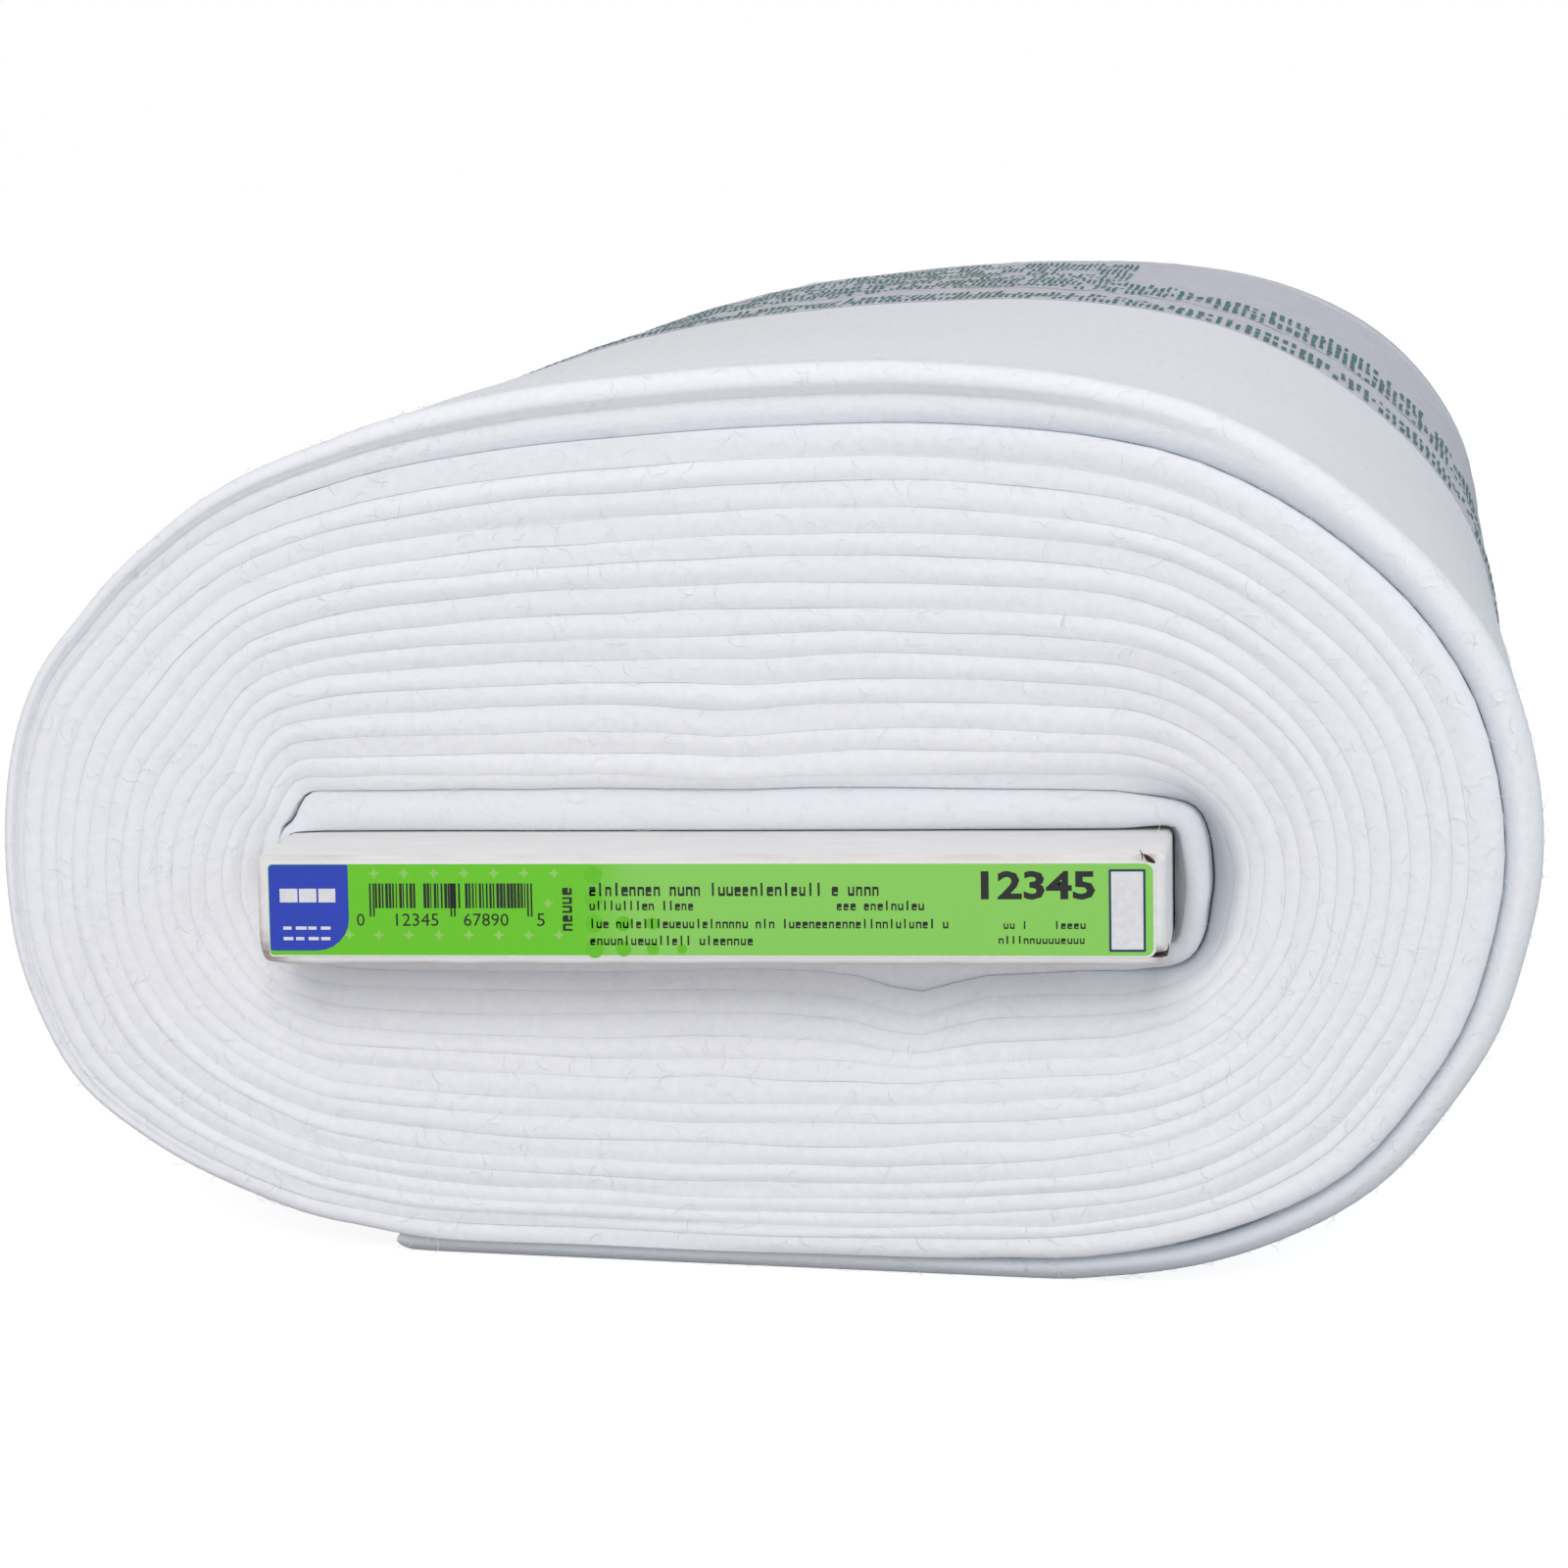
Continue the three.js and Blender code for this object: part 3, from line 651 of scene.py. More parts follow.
def folded_ring(turns, fullness, fine):
    """Points of one ring in order round the folded section, each with two marks: how much painted
    shade it takes, in place of shadow, and whether it shows from outside, where stray fibres may stand."""
    inside, outside = boundary(turns), boundary(turns + 1)
    thick = math.dist(inside[0], outside[0])
    under_gap = air_outside(turns - 1) / 2 if turns >= 0.8 else 0.0
    over_gap = air_outside(turns) / 2
    touching = FOLDS_TOUCH_AT / 2 if turns < LAST_TURN_FROM else 0.0
    low = 0.5 - (0.5 - min(0.4, under_gap / thick)) * fullness
    high = 0.5 + (0.5 - min(0.4, over_gap / thick)) * fullness
    low_within = 0.5 - (0.5 - min(under_gap, touching) / thick) * fullness
    high_within = 0.5 + (0.5 - min(over_gap, touching) / thick) * fullness
    if 0 <= turns < 1:
        low_within -= slack_at(turns) / thick
    middle = (low + high) / 2
    slit = PLY_SLIT / 2 / thick * fullness
    near = NEAR_Y + setback(turns)
    inner_depth, outer_depth = groove_depths(turns, thick * (high - low))
    slit_stops = near + max(inner_depth, outer_depth) + thick * 0.25 * SLIT_STOPS
    inner_free, outer_free = free_inside(turns), free_outside(turns)
    outer_far = FAR_Y - 0.5 - 0.9 * abs(noise.noise(Vector((turns * 9.1, 3.3, 0))))
    inner_far = FAR_Y - 0.5 - 0.9 * abs(noise.noise(Vector((turns * 8.3, 7.7, 0))))
    is_outside = turns >= LAST_TURN_FROM
    ring = []

    def add(share, y, painted_shade, lift=0.0, shows=0.0):
        a, b = at_length(inside, y), at_length(outside, y)
        x, z = blend_points(a, b, share)
        if lift:
            long = math.dist(a, b)
            x += (b[0] - a[0]) / long * lift
            z += (b[1] - a[1]) / long * lift
        ring.append(((x, y, max(z, 0.0)), painted_shade, shows))

    # The far cut edges take some painted shade on their rounded rims.
    def ply_edge(first, second, y):
        inset = (second - first) * 0.2
        add(first, y - EDGE_ROUND, 0.6)
        add(first + inset, y, 0.1)
        add(second - inset, y, 0.1)
        add(second, y - EDGE_ROUND, 0.6)

    # The slit between the plies is hidden and takes full painted shade.
    ply_edge(high_within, middle + slit, outer_far)
    add(middle + slit, slit_stops, 1)
    add(middle, slit_stops - slit * thick, 1)
    add(middle - slit, slit_stops, 1)
    ply_edge(middle - slit, low_within, inner_far)
    # Where the groove closes, the cloth takes the painted groove shade.
    add(low_within, near + inner_depth + GAPS_CLOSE_OVER, VALLEY_SHADE)
    crease = crease_depth(turns)
    for i in range(FOLD_POINTS + 1):
        t = math.pi * i / FOLD_POINTS
        share = middle - (high - low) / 2 * math.cos(t)
        is_inner = t < math.pi / 2
        dent = crease * math.exp(-((share - LAST_CREASE["share"]) / LAST_CREASE["width"]) ** 2)
        free = inner_free if is_inner else outer_free
        power = LAST_UNDERCUT_SHAPE if is_outside and is_inner else PRESSED_SHAPE
        round_back = (inner_depth if is_inner else outer_depth) * fold_back(t, free, power)
        # Painted shade of the fold, in place of shadow: darker and bluer in its grooves, more where a side
        # is free, in the hollow, on the first turn, under the roll and behind the last fold at the right.
        deep = (VALLEY_SHADE + (FREE_SHADE - VALLEY_SHADE) * free) * (1 - math.sin(t)) ** 1.2
        deep += HOLLOW_SHADE * recess(turns, share) + FIRST_SHADE * (1 - ramp(turns, 0.38, 0.5))
        deep += UNDER_SHADE * ramp(turns, 16.40, 16.5)
        if is_inner:
            deep += UNDERCUT_SHADE * right_of_last(turns) * (1 - math.sin(t)) ** 0.7
        if is_outside and t > math.pi / 2:
            deep = UNDER_SHADE * ramp(turns, 16.40, 16.5)
        lift = relief(turns, near + round_back) * max(0.0, -math.cos(t)) if fine else 0.0
        shows = 1.0 if 0 < i < FOLD_POINTS or (is_outside and i > 0) else 0.0
        y = NEAR_Y + setback(turns, share) + round_back + dent
        # The crease in the last fold is darkened a little more, as painted shade.
        add(share, y, min(1.0, deep + 0.12 * dent), lift, shows)
    closed_at = near + outer_depth + GAPS_CLOSE_OVER
    # Turns inside the roll take full painted shade; the outside of the last turn takes none.
    outside_painted_shade = 0.0 if is_outside else 1.0
    if fine:
        for y in outside_places(near + outer_depth):
            rise = high if y < closed_at else high_within
            add(rise, y, outside_painted_shade, relief(turns, y), float(is_outside))
    else:
        add(high_within, closed_at, 1.0)
    return ring


# %% Sweep the ring along the winding
COARSE_STEPS = 112
FINE_STEPS = 196
FINE_FROM = 15.64
TIP_RADIUS = 2.4
TURNS_PER_MM = FLAT_SHARE / (2 * SPINE_HALF)
TIP_ANGLES = (0, 22, 44, 64, 80, 88)


def winding_places():
    """Every place where the ring is set, with its fullness and whether it is a fine ring."""
    first = math.ceil(FIRST_EDGE_AT * COARSE_STEPS)
    places = [(i / COARSE_STEPS, 1.0, False) for i in range(first, math.ceil(FINE_FROM * COARSE_STEPS))]
    tip_from = WINDING_ENDS - TIP_RADIUS * TURNS_PER_MM
    count = math.floor((tip_from - FINE_FROM) * FINE_STEPS)
    places += [(FINE_FROM + i * (tip_from - FINE_FROM) / count, 1.0, True) for i in range(count)]
    for angle in TIP_ANGLES:
        a = math.radians(angle)
        back = TIP_RADIUS * TURNS_PER_MM * (1 - math.sin(a))
        places.append((WINDING_ENDS - back, math.cos(a), True))
    return places


points, painted_shades, shown, rings = [], [], [], []
for turns, fullness, fine in winding_places():
    ring = folded_ring(turns, fullness, fine)
    rings.append(list(range(len(points), len(points) + len(ring))))
    points += [point for point, painted_shade, shows in ring]
    painted_shades += [painted_shade for point, painted_shade, shows in ring]
    shown += [shows for point, painted_shade, shows in ring]

faces = [list(reversed(rings[0])), rings[-1]]
for a, b in zip(rings, rings[1:]):
    shared = min(len(a), len(b))
    for i in range(shared - 1):
        faces.append((a[i], a[i + 1], b[i + 1], b[i]))
    if len(a) == len(b):
        faces.append((a[-1], a[0], b[0], b[-1]))
    else:
        faces.append([a[-1], a[0], b[0]] + list(reversed(b[shared - 1:])))

batting = make_piece("batting", points, faces, fleece, marks={"painted_shade": painted_shades, "shows": shown})
face_outwards(batting)
print("batting", len(rings), "rings,", triangles(batting), "triangles")

# %% [markdown]
# The cloth's flat size is its cut width, twice the folded width, by the length of the winding.
# The loop below steps along the winding, pairing each boundary with the next turn's, but keeps nothing.

for i in range(1, round(WINDING_ENDS * COARSE_STEPS)):
    a, b = ((boundary(t)[0], boundary(t + 1)[0]) for t in ((i - 1) / COARSE_STEPS, i / COARSE_STEPS))
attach(batting, BODY)
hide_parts("batting_roll", "loose_end")

# %% [markdown]
# ## The bolt board
# The board is folded from white-faced card, so it is a flat box with soft edges. A rounded
# section is lofted along the roll, set in more at its right edge, where the end panel bends
# round. The ends are handled most: a corner is crushed, the upper edge is torn and the slot of
# the tucked flap shows. Boolean cutters make the tear, in two parts, and the slot, as a knife
# would. The faces that they cut get the card's brown inside mottled with near-black painted
# shade, which stands for the shadow deep in the tear and the slot.

# %% Card material
CARD_WHITE = (0.87, 0.86, 0.84, 1)
CARD_GREY = (0.80, 0.785, 0.77, 1)
CARD_WORN = (0.40, 0.31, 0.27, 1)
# Near-black painted shade for the cut faces, standing for the shadow in the tear and the slot
CARD_CUT_PAINTED_SHADE = (0.055, 0.045, 0.045, 1)

card, tree, shader = new_material("white_card", Roughness=0.7, Specular_IOR_Level=0.3)
grain = add_node(tree, "ShaderNodeGroup", {"node_tree": nap_group},
                 Clump=2.6, Fuzz=0.5, Stretch=(0.25, 0.6, 1))
card_face = add_node(tree, "ShaderNodeMix", {"data_type": "RGBA"}, _0=grain.outputs["Tone"],
                     _6=CARD_GREY, _7=CARD_WHITE).outputs[2]
worn = add_node(tree, "ShaderNodeAttribute", {"attribute_name": "worn"}).outputs["Fac"]
patchy = add_node(tree, "ShaderNodeMapRange", Value=grain.outputs["Height"], From_Min=0.45, From_Max=0.85,
                  To_Min=0.35, To_Max=1.0).outputs["Result"]
worn_share = add_node(tree, "ShaderNodeMath", {"operation": "MULTIPLY", "use_clamp": True},
                      _0=worn, _1=patchy)
card_colour = add_node(tree, "ShaderNodeMix", {"data_type": "RGBA"}, _0=worn_share.outputs[0],
                       _6=card_face, _7=CARD_WORN).outputs[2]
wire_or_set(tree, shader.inputs["Base Color"], card_colour)
bump = add_node(tree, "ShaderNodeBump", Strength=0.35, Distance=0.00012, Height=grain.outputs["Height"])
wire_or_set(tree, shader.inputs["Normal"], bump.outputs["Normal"])

# The cut faces: the card's brown inside, mixed with near-black painted shade
card_inside_and_painted_shade, tree, shader = new_material("card_inside_and_painted_shade", Roughness=0.9, Specular_IOR_Level=0.1)
grain = add_node(tree, "ShaderNodeGroup", {"node_tree": nap_group}, Clump=0.8, Fuzz=0.3)
inside_and_shade_colour = add_node(tree, "ShaderNodeMix", {"data_type": "RGBA"}, _0=grain.outputs["Tone"],
                         _6=CARD_CUT_PAINTED_SHADE, _7=CARD_WORN).outputs[2]
wire_or_set(tree, shader.inputs["Base Color"], inside_and_shade_colour)

# %% Board shape
BOARD_END = BOARD_LENGTH / 2
SECTION_RADIUS = 1.3
EDGE_RADII = {"left": 0.7, "right": 2.4, "under": 0.8, "over": 0.6}
STATION_DEPTHS = [0, 0.15, 0.4, 0.8, 1.4, 2.2, 4, 7, 11, 16, 21, 30]
ALONG_SIDE = 44
UP_EDGE = 7
CORNER_STEPS = 5
CARD_WAVE = 0.28
CRUSH = {"x": -85.5, "z": -10.4, "size": 2.6, "in": 0.5, "back": 1.4}
CAP_INSETS = [0.4, 1.5, 5.0]
LEAST_RADIUS = 0.3


def rounded_away(depth, radius):
    """How far a rounded edge has fallen back at a depth below the face."""
    rest = radius - min(depth, radius)
    return radius - math.sqrt(radius ** 2 - rest ** 2)


def board_section(left, right, under, over, radius):
    """Points of a rounded rectangle in the board's axes, anticlockwise from its lower right."""
    middles = [(right - radius, under + radius), (right - radius, over - radius),
               (left + radius, over - radius), (left + radius, under + radius)]
    outline = []
    for index, (middle_x, middle_z) in enumerate(middles):
        for step in range(CORNER_STEPS + 1):
            angle = math.radians(90 * (index - 1 + step / CORNER_STEPS))
            outline.append((middle_x + radius * math.cos(angle), middle_z + radius * math.sin(angle)))
        next_x, next_z = middles[(index + 1) % 4]
        side_ends = (next_x + radius * math.cos(angle), next_z + radius * math.sin(angle))
        side_points = ALONG_SIDE if index % 2 else UP_EDGE
        side_starts = outline[-1]
        outline += [blend_points(side_starts, side_ends, i / side_points) for i in range(1, side_points)]
    return outline


def board_ring(depth, end, inset=0.0):
    """One ring of the board: end is -1 for the near end and 1 for the far one."""
    half_w, half_t = BOARD_WIDTH / 2 - inset, BOARD_THICKNESS / 2 - inset
    fall = {side: rounded_away(depth, radius) for side, radius in EDGE_RADII.items()}
    section = board_section(-half_w + fall["left"], half_w - fall["right"],
                            -half_t + fall["under"], half_t - fall["over"],
                            max(LEAST_RADIUS, SECTION_RADIUS - inset))
    ring = []
    for x, z in section:
        y = end * (BOARD_END - depth)
        wave = CARD_WAVE * math.exp(-depth / 14) * abs(noise.noise(Vector((x / 17, y / 9, z / 6))))
        z *= 1 - wave / (BOARD_THICKNESS / 2)
        if end < 0:
            from_corner = math.hypot(x - CRUSH["x"], z - CRUSH["z"], depth)
            near_corner = math.exp(-(from_corner / CRUSH["size"]) ** 2)
            x += CRUSH["in"] * near_corner
            z += CRUSH["in"] * near_corner
            y += CRUSH["back"] * near_corner
        px, pz = from_board(x, z)
        ring.append((px, y, pz))
    return ring


def loft(rings, thin_ends=False):
    """Points and faces of closed rings joined one to the next, with both ends closed.
    A thin ring, out along one side and back along the other, is closed by a strip of quads."""
    count = len(rings[0])
    last = (len(rings) - 1) * count
    faces = []
    for first, order in ((0, 1), (last, -1)):
        if thin_ends:
            faces += [(first + i, first + i + 1, first + count - 2 - i, first + count - 1 - i)[::order]
                      for i in range(count // 2 - 1)]
        else:
            faces.append(list(range(first, first + count))[::order])
    for k in range(len(rings) - 1):
        for i in range(count):
            j = (i + 1) % count
            faces.append((k * count + i, k * count + j, (k + 1) * count + j, (k + 1) * count + i))
    return [point for ring in rings for point in ring], faces


board_rings = [board_ring(0, -1, inset) for inset in reversed(CAP_INSETS)]
board_rings += [board_ring(depth, -1) for depth in STATION_DEPTHS]
board_rings += [board_ring(depth, 1) for depth in reversed(STATION_DEPTHS)]
board_rings += [board_ring(0, 1, inset) for inset in CAP_INSETS]

# %% Cut the torn edge and the flap's slot
# Corners of each cutter in the board's own axes: across it, along the roll, through it
CUTS = {
    "tear_over": [(80.2, -298, 11.5), (80.5, -298, 11.5), (80.3, -298, 9.8),
                  (80.9, -306, 11.5), (81.5, -306, 11.5), (81.2, -306, 8.9)],
    "tear_front": [(81.0, -306, 10.9), (81.6, -306, 11.0), (83.6, -306, 9.2), (83.4, -306, 8.6),
                   (82.0, -306, 9.0), (81.2, -302.6, 10.0), (83.2, -302.6, 8.8), (82.0, -302.6, 9.1)],
    "flap_slot": [(x, y, z) for x, z in ((76, -8.6), (87, -9.0), (87, -7.6)) for y in (-306, -294)],
}


def plain_mesh(piece, name, material=None):
    """The piece with its modifiers worked out, as a new plain mesh object."""
    evaluated = piece.evaluated_get(bpy.context.evaluated_depsgraph_get())
    mesh = bpy.data.meshes.new_from_object(evaluated)
    bpy.data.objects.remove(piece)
    if material:
        mesh.materials.clear()
        mesh.materials.append(material)
    finished = bpy.data.objects.new(name, mesh)
    bpy.context.scene.collection.objects.link(finished)
    return finished


points, faces = loft(board_rings)
board = make_piece("card_board_uncut", points, faces, card)
face_outwards(board)
for label, corners in CUTS.items():
    hull = bmesh.new()
    for x, y, z in corners:
        px, pz = from_board(x, z)
        hull.verts.new((px * MM, y * MM, pz * MM))
    bmesh.ops.convex_hull(hull, input=hull.verts)
    mesh = bpy.data.meshes.new(label)
    hull.to_mesh(mesh)
    hull.free()
    mesh.materials.append(card_inside_and_painted_shade)
    cutter = bpy.data.objects.new(label, mesh)
    bpy.context.scene.collection.objects.link(cutter)
    face_outwards(cutter)
    cut = board.modifiers.new(label, "BOOLEAN")
    cut.operation = "DIFFERENCE"
    cut.solver = "EXACT"
    cut.material_mode = "TRANSFER"
    cut.object = cutter
bpy.context.view_layer.update()
board = plain_mesh(board, "card_board")
for label in CUTS:
    bpy.data.objects.remove(bpy.data.objects[label])

# %% Mark where the card is worn
# Spots on the near end: across the board, through it, how far the wear reaches, how strong it is
WORN_SPOTS = [
    (CRUSH["x"] + 0.6, CRUSH["z"] + 0.6, 3.2, 2.2),
    (82.2, 9.6, 1.2, 1.0),
    (84.2, -8.2, 1.3, 1.0),
    (84, -10.2, 2, 0.3),
]
WORN_EDGE = 0.9
WORN_EDGE_WIDTH = 1.3


def worn_at(position):
    """0 for clean card, 1 for bare grey board: the near edges and a few named spots."""
    x, y, z = (value / MM for value in position)
    dx, dz = x - BOARD_CENTRE[0], z - BOARD_CENTRE[1]
    along = dx * math.cos(BOARD_TILT) + dz * math.sin(BOARD_TILT)
    up = -dx * math.sin(BOARD_TILT) + dz * math.cos(BOARD_TILT)
    depth = BOARD_END - abs(y)
    to_edge = min(BOARD_THICKNESS / 2 - abs(up), BOARD_WIDTH / 2 - abs(along)) + depth
    uneven = 0.5 + 0.5 * noise.noise(Vector((along / 9, y, up / 4)))
    amount = WORN_EDGE * uneven * max(0.0, 1 - to_edge / WORN_EDGE_WIDTH)
    if y < 0:
        for spot_x, spot_z, size, strength in WORN_SPOTS:
            away = math.hypot(along - spot_x, up - spot_z, depth)
            amount += strength * math.exp(-(away / size) ** 2)
    return min(1.0, amount)


worn_marks = [worn_at(vertex.co) for vertex in board.data.vertices]
board.data.attributes.new("worn", "FLOAT", "POINT").data.foreach_set("value", worn_marks)
board.data.polygons.foreach_set("use_smooth", [len(face.vertices) == 4 for face in board.data.polygons])
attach(board, BODY)
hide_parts("bolt_board")
inside_faces = sum(face.material_index > 0 for face in board.data.polygons)
print("board", triangles(board), "triangles,", inside_faces, "faces of cuts")

# %% [markdown]
# ## The end label
# The label is a strip of paper, 167 by 17.8 mm. Its inks are laid over each other as on a press:
# green first, then a paler green screen of stars and dots, blue, white and black. Each ink is a
# skin a few hundredths of a millimetre thick. What the label says is replaced by a plain code,
# plain numbers and dashes that stand for words.

# %% Ink materials
LABEL_WIDTH = 167.0
LABEL_HEIGHT = 17.8
LABEL_PAPER = 0.25
INK = 0.03
WEAK_INK = 0.86


def ink(name, colour, roughness=0.42):
    material, tree, shader = new_material(name, Roughness=roughness, Specular_IOR_Level=0.35)
    mottle = add_node(tree, "ShaderNodeGroup", {"node_tree": nap_group}, Clump=1.1, Fuzz=0.25)
    weak = tuple(c * WEAK_INK for c in colour[:3]) + (1,)
    mixed = add_node(tree, "ShaderNodeMix", {"data_type": "RGBA"}, _0=mottle.outputs["Tone"],
                     _6=weak, _7=colour)
    wire_or_set(tree, shader.inputs["Base Color"], mixed.outputs[2])
    return material


LABEL_GREEN = (0.14, 0.58, 0.012, 1)
LABEL_PALE = (0.25, 0.63, 0.10, 1)
paper = ink("label_paper", (0.84, 0.84, 0.83, 1), 0.5)
black_ink = ink("black_ink", (0.012, 0.016, 0.012, 1))
blue_ink = ink("blue_ink", (0.018, 0.055, 0.50, 1))
navy_ink = ink("navy_ink", (0.008, 0.05, 0.10, 1))
white_ink = ink("white_ink", (0.80, 0.80, 0.82, 1))
pale_ink = ink("pale_green_ink", (0.30, 0.66, 0.13, 1))
green_dot_ink = ink("green_dot_ink", LABEL_GREEN)

green_ink, tree, shader = new_material("green_ink", Roughness=0.4, Specular_IOR_Level=0.35)
position = add_node(tree, "ShaderNodeTexCoord").outputs["Object"]
across_label = add_node(tree, "ShaderNodeSeparateXYZ", Vector=position).outputs[0]
paler = add_node(tree, "ShaderNodeMapRange", {"interpolation_type": "SMOOTHSTEP"}, Value=across_label,
                 From_Min=-0.0335, From_Max=-0.020).outputs["Result"]
green_colour = add_node(tree, "ShaderNodeMix", {"data_type": "RGBA"}, _0=paler,
                        _6=LABEL_GREEN, _7=LABEL_PALE).outputs[2]
wire_or_set(tree, shader.inputs["Base Color"], green_colour)


# %% Place things on the label
def on_label(u, v, out):
    """A point on the label: u from its left edge, v from its lower edge, out from the card."""
    x, z = from_board(u - LABEL_WIDTH / 2, v - LABEL_HEIGHT / 2)
    return x, -BOARD_END - out, z


def rounded_outline(u0, v0, u1, v1, radii):
    """A rectangle with its own radius at each corner: lower right, upper right, upper left, lower left."""
    outline = []
    for (u, v, start), radius in zip([(u1, v0, -90), (u1, v1, 0), (u0, v1, 90), (u0, v0, 180)], radii):
        middle_u = u - radius if u == u1 else u + radius
        middle_v = v - radius if v == v1 else v + radius
        for step in range(7):
            angle = math.radians(start + 15 * step)
            outline.append((middle_u + radius * math.cos(angle), middle_v + radius * math.sin(angle)))
    return outline


def skin(name, outline, low, high, material):
    """A flat closed skin on the label between two heights above the card."""
    count = len(outline)
    points = [on_label(u, v, out) for out in (low, high) for u, v in outline]
    faces = [list(range(count))[::-1], list(range(count, 2 * count))]
    faces += [(i, (i + 1) % count, count + (i + 1) % count, count + i) for i in range(count)]
    piece = make_piece(name, points, faces, material, smooth=False)
    face_outwards(piece)
    return piece


def hand_over_label(piece, *cad_nodes):
    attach(piece, BODY)
    if cad_nodes:
        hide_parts(*cad_nodes)


PAPER_BACK = 0.02
TOP = PAPER_BACK + LABEL_PAPER
paper_outline = rounded_outline(0, 0, LABEL_WIDTH, LABEL_HEIGHT, (1.8, 1.8, 0.9, 0.9))
hand_over_label(skin("label_paper", paper_outline, PAPER_BACK, TOP, paper), "end_label")

# Skins of ink: name, left, lower, right and upper edge, corner radii, layer above the paper, ink
SKINS = [
    ("label_green", 0.15, 0.35, LABEL_WIDTH - 0.5, LABEL_HEIGHT - 0.15, (1.5, 1.6, 0.8, 0.7), 0, green_ink),
    ("label_blue", 0.25, 1.2, 15.4, LABEL_HEIGHT - 0.25, (6.2, 0.3, 0.8, 0.5), 1, blue_ink),
    ("label_box_edge", 158.3, 1.1, 165.1, 16.6, (0.2, 0.2, 0.2, 0.2), 1, navy_ink),
    ("label_box", 158.75, 1.55, 164.65, 16.15, (0.1, 0.1, 0.1, 0.1), 2, white_ink),
]
for name, left, lower, right, upper, radii, layer, skin_ink in SKINS:
    outline = rounded_outline(left, lower, right, upper, radii)
    hand_over_label(skin(name, outline, TOP + layer * INK, TOP + (layer + 1) * INK, skin_ink))

# %% [markdown]
# ## Rows of marks
# Bars, words, stars and dots all repeat along rows, so one Geometry Nodes tree prints them all. A
# grid of points is thinned by chance, and by a slow noise that leaves whole groups out; a mark
# is set on each point that stays, with a random size. The tree works flat, in millimetres, and
# the finished mesh is then laid on the label or bent on to the roll.

# %% Tree for rows of marks
rows_tree, given, made = node_group(
    "rows_of_marks", "GeometryNodeTree",
    [("Geometry", "NodeSocketGeometry", None), ("Marks", "NodeSocketCollection", None),
     ("Columns", "NodeSocketInt", 4), ("Rows", "NodeSocketInt", 1),
     ("Column Pitch", "NodeSocketFloat", 1.0), ("Row Pitch", "NodeSocketFloat", 1.0),
     ("Smallest", "NodeSocketVector", (1, 1, 1)), ("Largest", "NodeSocketVector", (1, 1, 1)),
     ("Chance", "NodeSocketFloat", 1.0), ("Group Size", "NodeSocketFloat", 10.0),
     ("Groups Left Out", "NodeSocketFloat", 0.0), ("Seed", "NodeSocketInt", 1),
     ("Ink", "NodeSocketMaterial", None)],
    [("Geometry", "NodeSocketGeometry")])


def span(count, pitch):
    gaps = add_node(rows_tree, "ShaderNodeMath", {"operation": "SUBTRACT"}, _0=count, _1=1.0).outputs[0]
    return add_node(rows_tree, "ShaderNodeMath", {"operation": "MULTIPLY"}, _0=gaps, _1=pitch).outputs[0]


grid = add_node(rows_tree, "GeometryNodeMeshGrid", Vertices_X=given["Columns"], Vertices_Y=given["Rows"],
                Size_X=span(given["Columns"], given["Column Pitch"]),
                Size_Y=span(given["Rows"], given["Row Pitch"]))
kept_by_chance = add_node(rows_tree, "FunctionNodeRandomValue", {"data_type": "BOOLEAN"},
                          Probability=given["Chance"], Seed=given["Seed"]).outputs[3]
here = add_node(rows_tree, "GeometryNodeInputPosition").outputs[0]
group_scale = add_node(rows_tree, "ShaderNodeMath", {"operation": "DIVIDE"}, _0=1.0, _1=given["Group Size"])
group_noise = add_node(rows_tree, "ShaderNodeTexNoise", Vector=here,
                       Scale=group_scale.outputs[0], Detail=1.0)
kept_in_group = add_node(rows_tree, "FunctionNodeCompare", {"operation": "GREATER_THAN"},
                         _0=group_noise.outputs["Fac"], _1=given["Groups Left Out"]).outputs[0]
kept = add_node(rows_tree, "FunctionNodeBooleanMath", {"operation": "AND"},
                _0=kept_by_chance, _1=kept_in_group)
size = add_node(rows_tree, "FunctionNodeRandomValue", {"data_type": "FLOAT_VECTOR"},
                _0=given["Smallest"], _1=given["Largest"], Seed=given["Seed"]).outputs[0]
marks = add_node(rows_tree, "GeometryNodeCollectionInfo", Collection=given["Marks"], Separate_Children=True,
                 Reset_Children=True).outputs[0]
which = add_node(rows_tree, "FunctionNodeRandomValue", {"data_type": "INT"},
                 _4=0, _5=99, Seed=given["Seed"]).outputs[2]
placed = add_node(rows_tree, "GeometryNodeInstanceOnPoints", Points=grid.outputs[0],
                  Selection=kept.outputs[0], Instance=marks, Pick_Instance=True,
                  Instance_Index=which, Scale=size).outputs[0]
real = add_node(rows_tree, "GeometryNodeRealizeInstances", Geometry=placed).outputs[0]
inked = add_node(rows_tree, "GeometryNodeSetMaterial", Geometry=real, Material=given["Ink"]).outputs[0]
wire_or_set(rows_tree, made["Geometry"], inked)


# %% Print rows with the tree
def bar_block(name, segments=1):
    """A bar one unit long, wide and thick, in segments along its length so that it can bend."""
    section = ((0, 0), (1, 0), (1, 1), (0, 1))
    rings = [[(i / segments, v, out) for v, out in section] for i in range(segments + 1)]
    mesh = bpy.data.meshes.new(name)
    points, faces = loft(rings)
    mesh.from_pydata(points, [], faces)
    return bpy.data.objects.new(name, mesh)


